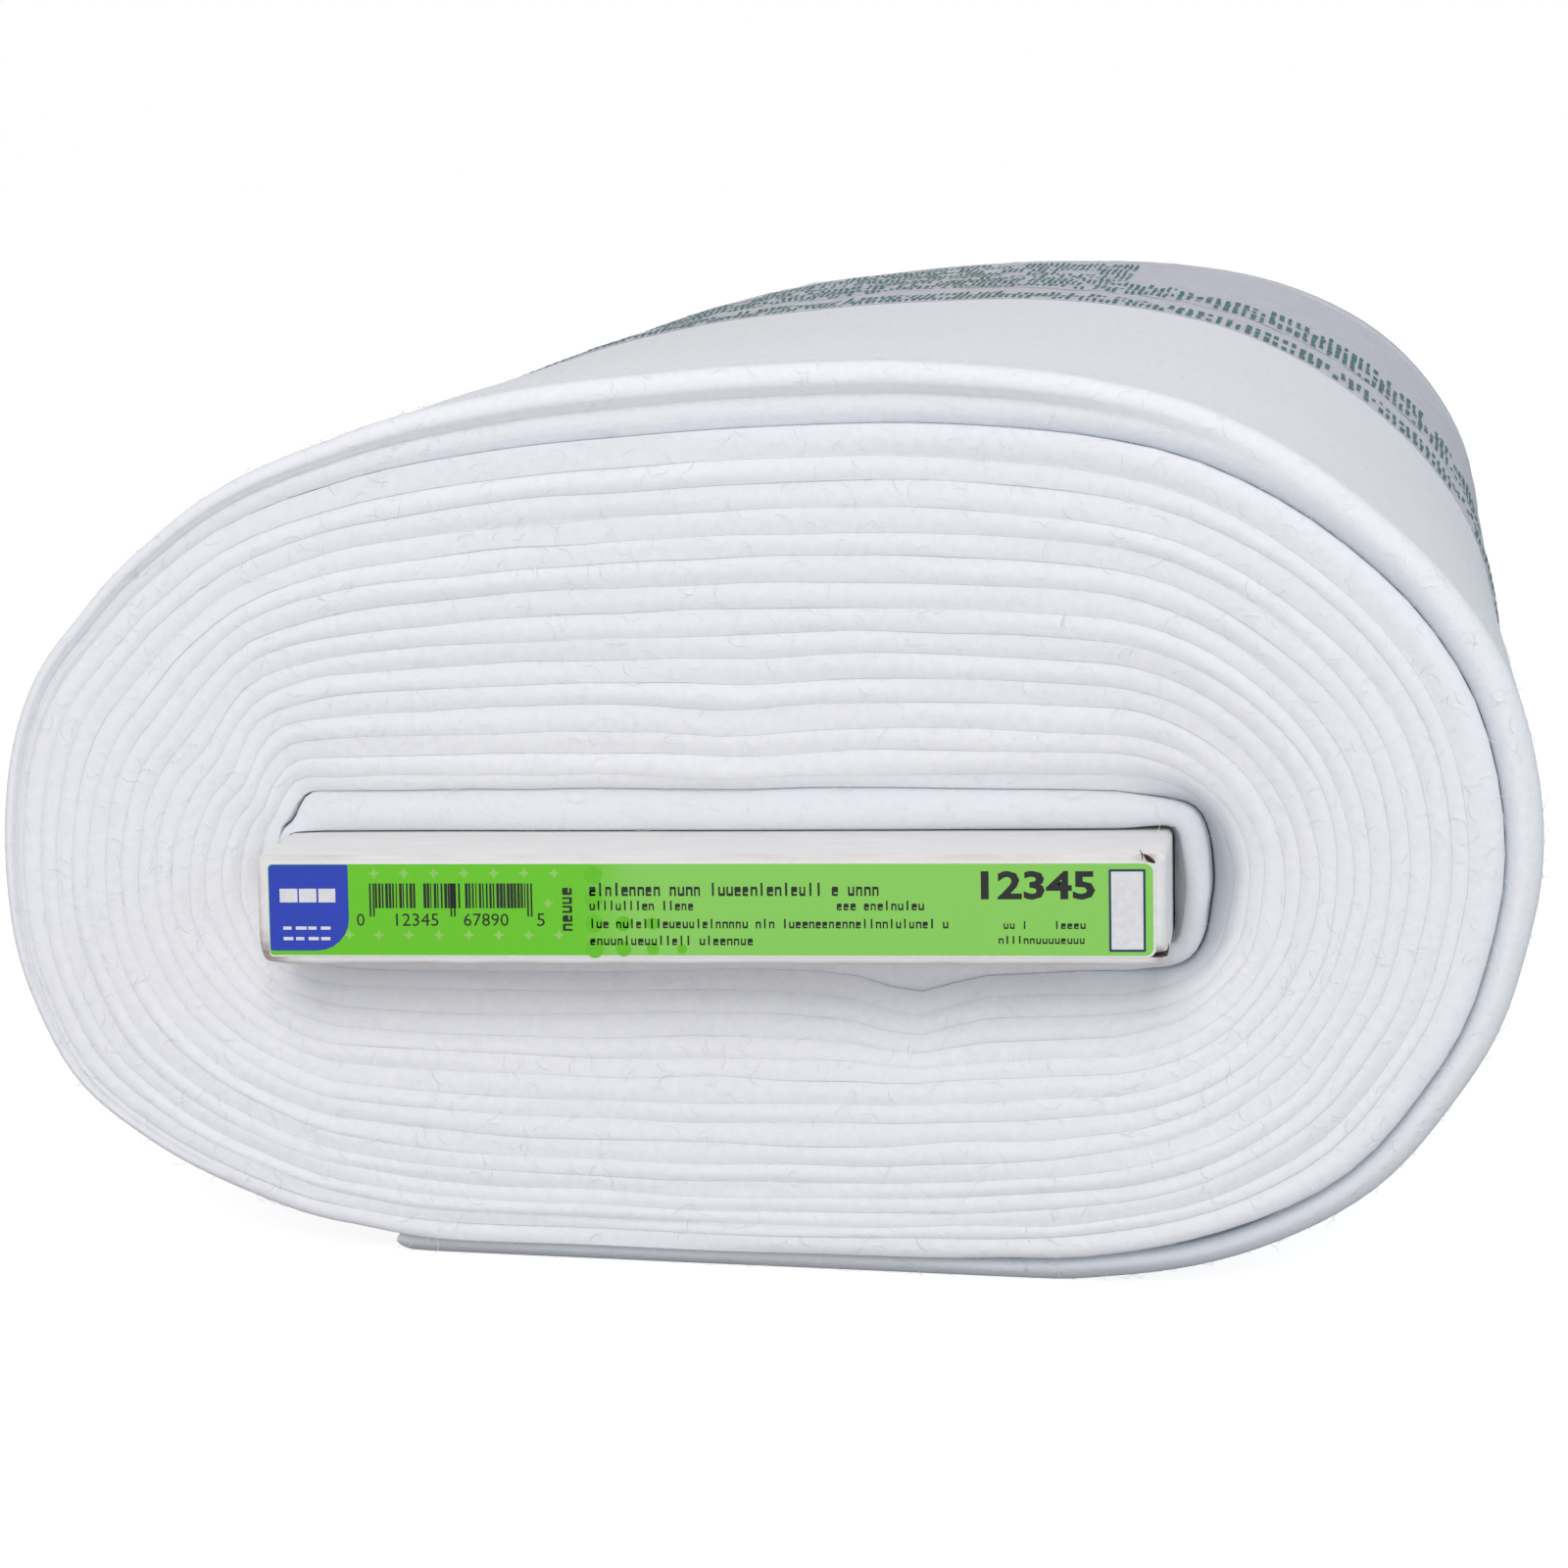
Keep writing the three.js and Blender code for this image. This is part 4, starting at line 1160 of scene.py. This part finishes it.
def mark_block(name, outline):
    """A flat mark of one unit's thickness with the given outline."""
    count = len(outline)
    mesh = bpy.data.meshes.new(name)
    points = [(u, v, out) for out in (0, 1) for u, v in outline]
    faces = [list(range(count))[::-1], list(range(count, 2 * count))]
    faces += [(i, (i + 1) % count, count + (i + 1) % count, count + i) for i in range(count)]
    mesh.from_pydata(points, [], faces)
    return bpy.data.objects.new(name, mesh)


def mark_set(name, *blocks):
    """A collection of marks that the tree picks from; it is never in the scene itself."""
    marks = bpy.data.collections.new(name)
    for block in blocks:
        marks.objects.link(block)
    return marks


def print_rows(marks, material, **values):
    """Runs the tree and returns its points and faces, flat and in millimetres."""
    sheet = bpy.data.objects.new("print_sheet", bpy.data.meshes.new("print_sheet"))
    bpy.context.scene.collection.objects.link(sheet)
    modifier = sheet.modifiers.new("rows", "NODES")
    modifier.node_group = rows_tree
    sockets = socket_names(rows_tree)
    for label, value in {"Marks": marks, "Ink": material, **values}.items():
        value = [float(part) for part in value] if isinstance(value, tuple) else value
        modifier[sockets[label.replace("_", " ")]] = value
    finished = plain_mesh(sheet, "print_rows", material)
    points = [tuple(vertex.co) for vertex in finished.data.vertices]
    faces = [tuple(face.vertices) for face in finished.data.polygons]
    bpy.data.objects.remove(finished)
    return points, faces


def text_shape(words, height, bolder=0.0):
    """Plain numbers as a closed flat mesh, with its lower left corner at the origin."""
    curve = bpy.data.curves.new("numbers", "FONT")
    curve.body = words
    curve.offset = bolder
    curve.resolution_u = 2
    curve.extrude = 0.5
    numbers = bpy.data.objects.new("numbers", curve)
    bpy.context.scene.collection.objects.link(numbers)
    evaluated = numbers.evaluated_get(bpy.context.evaluated_depsgraph_get())
    mesh = bpy.data.meshes.new_from_object(evaluated)
    bpy.data.objects.remove(numbers)
    welded = bmesh.new()
    welded.from_mesh(mesh)
    bmesh.ops.remove_doubles(welded, verts=welded.verts, dist=1e-5)
    welded.to_mesh(mesh)
    welded.free()
    low_x, high_x = (f(v.co.x for v in mesh.vertices) for f in (min, max))
    low_y, high_y = (f(v.co.y for v in mesh.vertices) for f in (min, max))
    points = []
    for vertex in mesh.vertices:
        x, y, z = vertex.co
        points.append(((x - low_x) / (high_x - low_x), (y - low_y) / (high_y - low_y) * height, z + 0.5))
    return points, [tuple(face.vertices) for face in mesh.polygons]


class InkLayer:
    """Collects the marks of one ink and makes one piece of them."""

    def __init__(self, low):
        self.low = low
        self.points = []
        self.faces = []

    def add(self, points, faces, place):
        start = len(self.points)
        self.points += [place(*point) for point in points]
        self.faces += [tuple(start + i for i in face) for face in faces]

    def rows(self, marks, material, u, v, turned=False, **values):
        """Prints rows whose lower left corner is at u, v on the label."""
        points, faces = print_rows(marks, material, **values)
        half_u = (values.get("Columns", 1) - 1) * values.get("Column_Pitch", 1.0) / 2
        half_v = (values.get("Rows", 1) - 1) * values.get("Row_Pitch", 1.0) / 2

        def place(a, b, out):
            a, b = (u - b - half_v, v + a + half_u) if turned else (u + a + half_u, v + b + half_v)
            return on_label(a, b, self.low + out * INK)
        self.add(points, faces, place)

    def number(self, words, u, v, wide, height, bolder=0.0):
        points, faces = text_shape(words, height, bolder)
        self.add(points, faces, lambda a, b, out: on_label(u + a * wide, v + b, self.low + out * INK))

    def finish(self, name, material):
        piece = make_piece(name, self.points, self.faces, material, smooth=False)
        face_outwards(piece)
        hand_over_label(piece)
        print(name, triangles(piece), "triangles")


STAR_POINT = 1.15
STAR_WAIST = 0.5


def spokes(lengths, step):
    """Points round a middle, at lengths that repeat, one each step degrees."""
    return [(lengths[i % len(lengths)] * math.cos(math.radians(i * step)),
             lengths[i % len(lengths)] * math.sin(math.radians(i * step))) for i in range(360 // step)]


bar = mark_set("bars", bar_block("bar"))
star = mark_set("stars", mark_block("star", spokes((STAR_POINT, STAR_WAIST), 45)))
dot = mark_set("dots", mark_block("dot", spokes((1.0,), 30)))

# Strokes that stand for letters: an arch, a cup, a comb and a stem, each in a cell one unit square
STROKES = {
    "arch": [(0, 0), (0.27, 0), (0.27, 0.5), (0.7, 0.5), (0.7, 0),
             (0.97, 0), (0.97, 0.58), (0.85, 0.7), (0, 0.7)],
    "cup": [(0, 0.7), (0, 0.12), (0.12, 0), (0.97, 0), (0.97, 0.7),
            (0.7, 0.7), (0.7, 0.2), (0.27, 0.2), (0.27, 0.7)],
    "comb": [(0.1, 0), (0.92, 0), (0.92, 0.17), (0.3, 0.17), (0.3, 0.28), (0.95, 0.28),
             (0.95, 0.6), (0.85, 0.7), (0.1, 0.7), (0, 0.6), (0, 0.1)],
    "stem": [(0.3, 0), (0.62, 0), (0.62, 1), (0.3, 1)],
}
letters_set = mark_set("strokes", *(mark_block(name, outline) for name, outline in STROKES.items()))

# %% Black print: bar code, plain numbers and dashes for words
MODULE = 0.33
BOLD = 0.03
LETTER_WIDTHS = (0.74, 0.86)
black = InkLayer(TOP + INK)
black.rows(bar, black_ink, 20.5, 9.3, Columns=44, Column_Pitch=2 * MODULE, Smallest=(0.2, 4.7, 1),
           Largest=(0.56, 4.7, 1), Chance=0.9, Seed=11)
for guard_u in (19.4, 34.8, 49.4):
    black.rows(bar, black_ink, guard_u, 7.7, Columns=2, Column_Pitch=2 * MODULE,
               Smallest=(MODULE, 6.3, 1), Largest=(MODULE, 6.3, 1))
for words, u, wide in (("0", 16.9, 1.5), ("12345", 24.4, 8.1), ("67890", 37.3, 8.5), ("5", 51.2, 1.5)):
    black.number(words, u, 5.9, wide, 2.4)
black.number("12345", 134.6, 10.9, 21.2, 5.4, BOLD)

# Rows of words: left end, lower edge, letters, letter pitch, height, share of letters printed
WORD_ROWS = [
    (61.2, 11.6, 36, 1.52, 2.5, 0.90),
    (61.2, 8.9, 16, 1.24, 1.8, 0.92),
    (107.7, 8.9, 16, 1.27, 1.8, 0.86),
    (61.2, 5.5, 54, 1.25, 1.8, 0.88),
    (61.2, 2.3, 24, 1.29, 1.8, 0.96),
    (137.6, 5.4, 5, 1.16, 1.5, 0.8),
    (148.2, 5.4, 5, 1.2, 1.5, 1.0),
    (137.8, 2.6, 14, 1.16, 1.5, 0.88),
]
for seed, (u, v, letters, pitch, tall, chance) in enumerate(WORD_ROWS, 21):
    black.rows(letters_set, black_ink, u, v, Columns=letters, Column_Pitch=pitch,
               Smallest=(pitch * LETTER_WIDTHS[0], tall, 1), Largest=(pitch * LETTER_WIDTHS[1], tall, 1),
               Chance=chance, Seed=seed)
black.rows(letters_set, black_ink, 57.9, 5.0, turned=True, Columns=5, Column_Pitch=1.7,
           Smallest=(1.3, 2.6, 1), Largest=(1.45, 2.6, 1), Seed=9)
black.finish("label_black_print", black_ink)

# %% White and green print
white = InkLayer(TOP + 2 * INK)
white.rows(bar, white_ink, 2.3, 10.4, Columns=3, Column_Pitch=3.7,
           Smallest=(3.1, 2.6, 1), Largest=(3.4, 2.6, 1))
for v in (5.2, 3.2):
    white.rows(bar, white_ink, 2.8, v, Columns=4, Column_Pitch=2.4, Smallest=(1.5, 0.6, 1),
               Largest=(2.1, 0.6, 1), Seed=int(v))
white.finish("label_white_print", white_ink)

# Rows of stars: first star, height on the label, stars
STAR_ROWS = [(20.4, 15.9, 7), (15.4, 4.2, 8), (53.4, 10.2, 1)]
STAR_PITCH = 5.7
STAR_LEAST = 0.95
pale = InkLayer(TOP + INK)
for first, v, stars in STAR_ROWS:
    pale.rows(star, pale_ink, first, v, Columns=stars, Column_Pitch=STAR_PITCH,
              Smallest=(STAR_LEAST, STAR_LEAST, 1), Seed=3)
pale.finish("label_star_print", pale_ink)

# Rows of dots, which start at one edge and shrink to the right: height on the label, dots
DOT_ROWS = [(1.6, 4), (6.4, 3), (11.0, 1), (15.6, 1)]
DOTS_FROM = 62.0
DOT_PITCH = 5.5
DOT_LARGEST = 1.75
DOT_SHRINKS = 0.28
screen = InkLayer(TOP + INK)
for v, dots in DOT_ROWS:
    for k in range(dots):
        dot_size = (DOT_LARGEST - DOT_SHRINKS * k, DOT_LARGEST - DOT_SHRINKS * k, 1)
        screen.rows(dot, green_dot_ink, DOTS_FROM + DOT_PITCH * k, v, Columns=1,
                    Smallest=dot_size, Largest=dot_size)
screen.finish("label_dot_print", green_dot_ink)

# %% [markdown]
# ## The printed film
# A strip of thin film was wound in with the last turn and shows on the outside of the far half.
# It is a closed skin that follows the outside of the cloth a little way off, so it never cuts
# it, and its crinkles only ever rise. The film is cloudy rather than clear.

# %% Film material
film_plastic, tree, shader = new_material("cloudy_film", Roughness=0.3, Specular_IOR_Level=0.5, Alpha=0.5)
crumple = add_node(tree, "ShaderNodeGroup", {"node_tree": nap_group},
                   Clump=5.0, Fuzz=1.4, Stretch=(1, 0.5, 1))
film_colour = add_node(tree, "ShaderNodeMix", {"data_type": "RGBA"}, _0=crumple.outputs["Tone"],
                       _6=(0.78, 0.78, 0.88, 1), _7=(0.90, 0.90, 0.96, 1)).outputs[2]
wire_or_set(tree, shader.inputs["Base Color"], film_colour)
bump = add_node(tree, "ShaderNodeBump", Strength=0.4, Distance=0.0006, Height=crumple.outputs["Height"])
wire_or_set(tree, shader.inputs["Normal"], bump.outputs["Normal"])
teal_ink = ink("teal_ink", (0.035, 0.18, 0.15, 1), 0.5)

# %% Film
FILM_FROM = WINDING_ENDS + 0.05
FILM_TO = 17.43
FILM_NEAR_Y = 15.0
FILM_FAR_Y = 270.0
FILM_THICK = 0.12
FILM_OFF = 0.12
CRINKLE = 0.5
CRINKLE_STARTS_OVER = 6.0
RIPPLE = 0.12
FILM_LEAST_Z = 0.05
FILM_RINGS = 264
FILM_ROWS = 96


def crinkle(turns, y):
    """Millimetres that the film stands off the cloth."""
    angle = 2 * math.pi * turns
    point = Vector((math.cos(angle) * 9, math.sin(angle) * 6, y / 16))
    sharp = max(0.0, 1 - abs(noise.noise(point)) * 2.4)
    from_edge = ramp(min(y - FILM_NEAR_Y, FILM_FAR_Y - y), 0, CRINKLE_STARTS_OVER)
    return FILM_OFF + from_edge * (CRINKLE * sharp ** 2 + RIPPLE * (1 + noise.noise(point * 3)))


def film_ring(turns):
    """One ring of the film: along the roll on its inner side, and back on its outer side."""
    inside, outside = boundary(turns - 1), boundary(turns)
    inner, outer = [], []
    for j in range(FILM_ROWS + 1):
        y = FILM_NEAR_Y + (FILM_FAR_Y - FILM_NEAR_Y) * j / FILM_ROWS
        a, b = at_length(inside, y), at_length(outside, y)
        long = math.dist(a, b)
        for row, lift in ((inner, 0), (outer, FILM_THICK)):
            lift += relief(turns - 1, y) + crinkle(turns, y)
            x, z = (b[axis] + (b[axis] - a[axis]) / long * lift for axis in (0, 1))
            row.append((x, y, max(FILM_LEAST_Z, z)))
    return inner + outer[::-1]


film_rings = [film_ring(FILM_FROM + (FILM_TO - FILM_FROM) * i / FILM_RINGS) for i in range(FILM_RINGS + 1)]
points, faces = loft(film_rings, thin_ends=True)
film = make_piece("printed_film", points, faces, film_plastic)
face_outwards(film)
film_length = sum(math.dist(a[0], b[0]) for a, b in zip(film_rings, film_rings[1:]))
print("film", triangles(film), "triangles, cut length", round(film_length), "mm")

# %% Print on the film
FILM_TURN_LENGTH = 745.0
LINE_PITCH = 1.75
DASH_HEIGHTS = (0.7, 1.2)
EDGE_LINE_AT = 80
EDGE_LINE_WIDTHS = (0.5, 0.6)
INK_ABOVE_FILM = 0.04

# Text columns along the roll: first edge, slots, slot pitch, shortest and longest dash, chance, and
# where the column starts and stops round the roll
TEXT_COLUMNS = [
    (17, 3, 11.2, 7.5, 11.0, 0.88, 0, 500),
    (88, 5, 11.5, 7.5, 11.3, 0.88, 0, 500),
    (152, 8, 11.8, 7.0, 11.0, 0.85, 60, 330),
]
dash = mark_set("dashes", bar_block("dash", segments=5))


def on_film(along, around, out):
    """A point just above the film's own facets, by place along and around the roll."""
    ring = min(FILM_RINGS - 1e-6, around / FILM_TURN_LENGTH / (FILM_TO - FILM_FROM) * FILM_RINGS)
    row = (along - FILM_NEAR_Y) / (FILM_FAR_Y - FILM_NEAR_Y) * FILM_ROWS
    i, j = int(ring), int(row)
    count = 2 * (FILM_ROWS + 1)

    def between(side):
        corners = [Vector(film_rings[i + di][side(j + dj)]) for di in (0, 1) for dj in (0, 1)]
        near, far = corners[0].lerp(corners[1], row - j), corners[2].lerp(corners[3], row - j)
        return near.lerp(far, ring - i)

    low, high = between(lambda k: k), between(lambda k: count - 1 - k)
    return high + (high - low).normalized() * (INK_ABOVE_FILM + out * INK)


lines = int((FILM_TO - FILM_FROM) * FILM_TURN_LENGTH / LINE_PITCH) - 2
film_ink = InkLayer(0)
for seed, (first, slots, pitch, short, long, chance, starts, stops) in enumerate(TEXT_COLUMNS, 41):
    rows = min(lines, int((stops - starts) / LINE_PITCH))
    points, faces = print_rows(
        dash, teal_ink, Columns=slots, Rows=rows, Column_Pitch=pitch, Row_Pitch=LINE_PITCH,
        Smallest=(short, DASH_HEIGHTS[0], 1), Largest=(long, DASH_HEIGHTS[1], 1), Chance=chance,
        Group_Size=14.0, Groups_Left_Out=0.37, Seed=seed)
    shift = first + (slots - 1) * pitch / 2
    middle = starts + LINE_PITCH * (rows - 1) / 2 + 1
    film_ink.add(points, faces, lambda a, b, out: on_film(shift + a, middle + b, out))
points, faces = print_rows(
    bar, teal_ink, Columns=1, Rows=lines, Row_Pitch=LINE_PITCH,
    Smallest=(EDGE_LINE_WIDTHS[0], LINE_PITCH, 1), Largest=(EDGE_LINE_WIDTHS[1], LINE_PITCH, 1),
    Group_Size=60.0, Groups_Left_Out=0.42, Seed=7)
middle = LINE_PITCH * (lines - 1) / 2 + 1
film_ink.add(points, faces, lambda a, b, out: on_film(EDGE_LINE_AT + a, middle + b, out))
film_print = make_piece("film_print", film_ink.points, film_ink.faces, teal_ink, smooth=False)
face_outwards(film_print)
for piece in (film, film_print):
    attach(piece, BODY)
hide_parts("print_strip")
print("film print", triangles(film_print), "triangles")
for marks in (bar, star, dot, dash, letters_set):
    for block in list(marks.objects):
        bpy.data.objects.remove(block)
    bpy.data.collections.remove(marks)

# %% [markdown]
# ## Stray fibres
# Fleece is never quite smooth: single fibres stand off its surface and bridge the grooves. A
# Geometry Nodes tree scatters points over the cloth where it shows, thick on the near end and
# thin on the outside, and sets one short bent fibre on each, nearly flat against the cloth and
# turned at random. None is spent on the turns that lie inside the roll.

# %% Tree for fibres
FIBRE_RADIUS = 0.035
FIBRE_BEND = 0.35

fibre_tree, given, made = node_group(
    "stray_fibres", "GeometryNodeTree",
    [("Geometry", "NodeSocketGeometry", None), ("Cloth", "NodeSocketObject", None),
     ("Near Face", "NodeSocketFloat", -0.27), ("Thick", "NodeSocketFloat", 60000.0),
     ("Thin", "NodeSocketFloat", 6000.0), ("Shortest", "NodeSocketFloat", 1.5),
     ("Longest", "NodeSocketFloat", 4.0), ("Seed", "NodeSocketInt", 4),
     ("Finish", "NodeSocketMaterial", None)],
    [("Geometry", "NodeSocketGeometry")])
cloth = add_node(fibre_tree, "GeometryNodeObjectInfo", Object=given["Cloth"]).outputs["Geometry"]
place_y = add_node(fibre_tree, "ShaderNodeSeparateXYZ",
                   Vector=add_node(fibre_tree, "GeometryNodeInputPosition").outputs[0]).outputs[1]
is_far = add_node(fibre_tree, "FunctionNodeCompare", {"operation": "GREATER_THAN"},
                  _0=place_y, _1=given["Near Face"]).outputs[0]
density = add_node(fibre_tree, "GeometryNodeSwitch", {"input_type": "FLOAT"},
                   Switch=is_far, False_=given["Thick"], True_=given["Thin"]).outputs[0]
shows = add_node(fibre_tree, "GeometryNodeInputNamedAttribute", {"data_type": "FLOAT"},
                 Name="shows").outputs["Attribute"]
density_shown = add_node(fibre_tree, "ShaderNodeMath", {"operation": "MULTIPLY"},
                         _0=density, _1=shows).outputs[0]
scattered = add_node(fibre_tree, "GeometryNodeDistributePointsOnFaces", Mesh=cloth,
                     Density=density_shown, Seed=given["Seed"])
lean = add_node(fibre_tree, "FunctionNodeRandomValue", {"data_type": "FLOAT_VECTOR"},
                _0=(1.15, 0, 0), _1=(1.5, 0, 2 * math.pi), Seed=given["Seed"]).outputs[0]
lean_and_turn = add_node(fibre_tree, "FunctionNodeEulerToRotation", Euler=lean).outputs[0]
turned = add_node(fibre_tree, "FunctionNodeRotateRotation", {"rotation_space": "LOCAL"},
                  Rotation=scattered.outputs["Rotation"], Rotate_By=lean_and_turn).outputs[0]
long = add_node(fibre_tree, "FunctionNodeRandomValue", {"data_type": "FLOAT"},
                _2=given["Shortest"], _3=given["Longest"], Seed=given["Seed"]).outputs[1]
spine = add_node(fibre_tree, "GeometryNodeCurveQuadraticBezier", Resolution=3, Start=(0, 0, 0),
                 Middle=(FIBRE_BEND, 0, 0.5), End=(0, 0, 1)).outputs[0]
round_section = add_node(fibre_tree, "GeometryNodeCurvePrimitiveCircle", {"mode": "RADIUS"},
                         Resolution=3, Radius=FIBRE_RADIUS / 3).outputs[0]
hair = add_node(fibre_tree, "GeometryNodeCurveToMesh", Curve=spine, Profile_Curve=round_section,
                Fill_Caps=True).outputs[0]
in_metres = add_node(fibre_tree, "ShaderNodeMath", {"operation": "MULTIPLY"}, _0=long, _1=MM).outputs[0]
set_on = add_node(fibre_tree, "GeometryNodeInstanceOnPoints", Points=scattered.outputs["Points"],
                  Instance=hair, Rotation=turned, Scale=in_metres).outputs[0]
grown = add_node(fibre_tree, "GeometryNodeRealizeInstances", Geometry=set_on).outputs[0]
finished = add_node(fibre_tree, "GeometryNodeSetMaterial", Geometry=grown,
                    Material=given["Finish"]).outputs[0]
wire_or_set(fibre_tree, made["Geometry"], finished)

# %% Fibres on the cloth
fibre_stuff, tree, shader = new_material("loose_fibre", Roughness=0.9, Specular_IOR_Level=0.1)
fibre_tone = add_node(tree, "ShaderNodeGroup", {"node_tree": nap_group}, Clump=3.0).outputs["Tone"]
fibre_colour = add_node(tree, "ShaderNodeMix", {"data_type": "RGBA"}, _0=fibre_tone,
                        _6=FLEECE_DULL, _7=FLEECE_BRIGHT).outputs[2]
wire_or_set(tree, shader.inputs["Base Color"], fibre_colour)

fuzz_piece = bpy.data.objects.new("fuzz", bpy.data.meshes.new("fuzz"))
bpy.context.scene.collection.objects.link(fuzz_piece)
modifier = fuzz_piece.modifiers.new("fibres", "NODES")
modifier.node_group = fibre_tree
sockets = socket_names(fibre_tree)
modifier[sockets["Cloth"]] = batting
modifier[sockets["Finish"]] = fibre_stuff
fuzz_piece = plain_mesh(fuzz_piece, "fuzz_on_batting", fibre_stuff)
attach(fuzz_piece, BODY)
print("fuzz", triangles(fuzz_piece), "triangles")

# %% [markdown]
# ## The floor and the light
# The photograph is cut out on white, with the softest of shadows. A large pale floor, a bright
# sky all round and a broad lamp above the camera give that: the folds face the lamp and the
# valleys between them keep only what the sky sends in. A small lamp near the floor lifts the
# shadow under the board, one overhead lights the roll's top, and a bluish one at the right
# stands for a window.

# %% Floor
FLOOR_GLOW = 0.08
FLOOR_GLOW_SEEN = 0.86
floor_material, tree, shader = new_material(
    "studio_floor", Roughness=0.9, Specular_IOR_Level=0.1, Emission_Color=(1, 1, 1, 1))
to_camera = add_node(tree, "ShaderNodeLightPath").outputs["Is Camera Ray"]
glow = add_node(tree, "ShaderNodeMapRange", Value=to_camera, To_Min=FLOOR_GLOW, To_Max=FLOOR_GLOW_SEEN)
wire_or_set(tree, shader.inputs["Emission Strength"], glow.outputs["Result"])
speckle = add_node(tree, "ShaderNodeTexNoise", Scale=3.0, Detail=2.0).outputs["Fac"]
floor_colour = add_node(tree, "ShaderNodeMix", {"data_type": "RGBA"}, _0=speckle,
                        _6=(0.37, 0.37, 0.39, 1), _7=(0.39, 0.39, 0.41, 1)).outputs[2]
wire_or_set(tree, shader.inputs["Base Color"], floor_colour)
FLOOR_RADIUS = 9000
FLOOR_Z = -0.2
floor_angles = [math.radians(degrees) for degrees in range(0, 360, 6)]
floor_edge = [(FLOOR_RADIUS * math.cos(a), FLOOR_RADIUS * math.sin(a), FLOOR_Z) for a in floor_angles]
floor = make_piece("studio_floor", floor_edge, [list(range(len(floor_edge)))], floor_material, smooth=False)

# %% Light
SKY_COLOUR = (0.96, 0.965, 1.0, 1)
SKY_LIGHT = 0.55
SKY_SEEN = 1.0
world = bpy.data.worlds.new("studio_sky")
world.use_nodes = True
seen = add_node(world.node_tree, "ShaderNodeLightPath").outputs["Is Camera Ray"]
strength = add_node(world.node_tree, "ShaderNodeMapRange", Value=seen, To_Min=SKY_LIGHT, To_Max=SKY_SEEN)
tint = add_node(world.node_tree, "ShaderNodeMix", {"data_type": "RGBA"}, _0=seen,
                _6=SKY_COLOUR, _7=(1, 1, 1, 1)).outputs[2]
sky = world.node_tree.nodes["Background"]
wire_or_set(world.node_tree, sky.inputs["Color"], tint)
wire_or_set(world.node_tree, sky.inputs["Strength"], strength.outputs["Result"])
bpy.context.scene.world = world


def soft_lamp(name, at, aim, side, power, colour):
    lamp_data = bpy.data.lights.new(name, "AREA")
    lamp_data.shape = "DISK"
    lamp_data.size = side
    lamp_data.energy = power
    lamp_data.color = colour
    lamp = bpy.data.objects.new(name, lamp_data)
    lamp.location = Vector(at)
    lamp.rotation_euler = (Vector(aim) - Vector(at)).to_track_quat("-Z", "Y").to_euler()
    bpy.context.scene.collection.objects.link(lamp)
    return lamp


soft_lamp("front_lamp", (-0.1, -2.5, 1.35), (0, -0.2, 0.08), 1.3, 23, (1.0, 0.98, 0.985))
soft_lamp("low_front_lamp", (-0.2, -2.6, 0.3), (0, -0.2, 0.08), 0.6, 6.5, (1.0, 0.98, 0.985))
soft_lamp("top_lamp", (0.0, -0.2, 2.2), (0, 0, 0.1), 1.6, 5.5, (1.0, 0.99, 0.98))
soft_lamp("window_at_right", (2.2, -0.9, 0.9), (0, -0.1, 0.08), 1.2, 6, (0.62, 0.88, 1.0))
bpy.context.scene.view_settings.view_transform = "Standard"
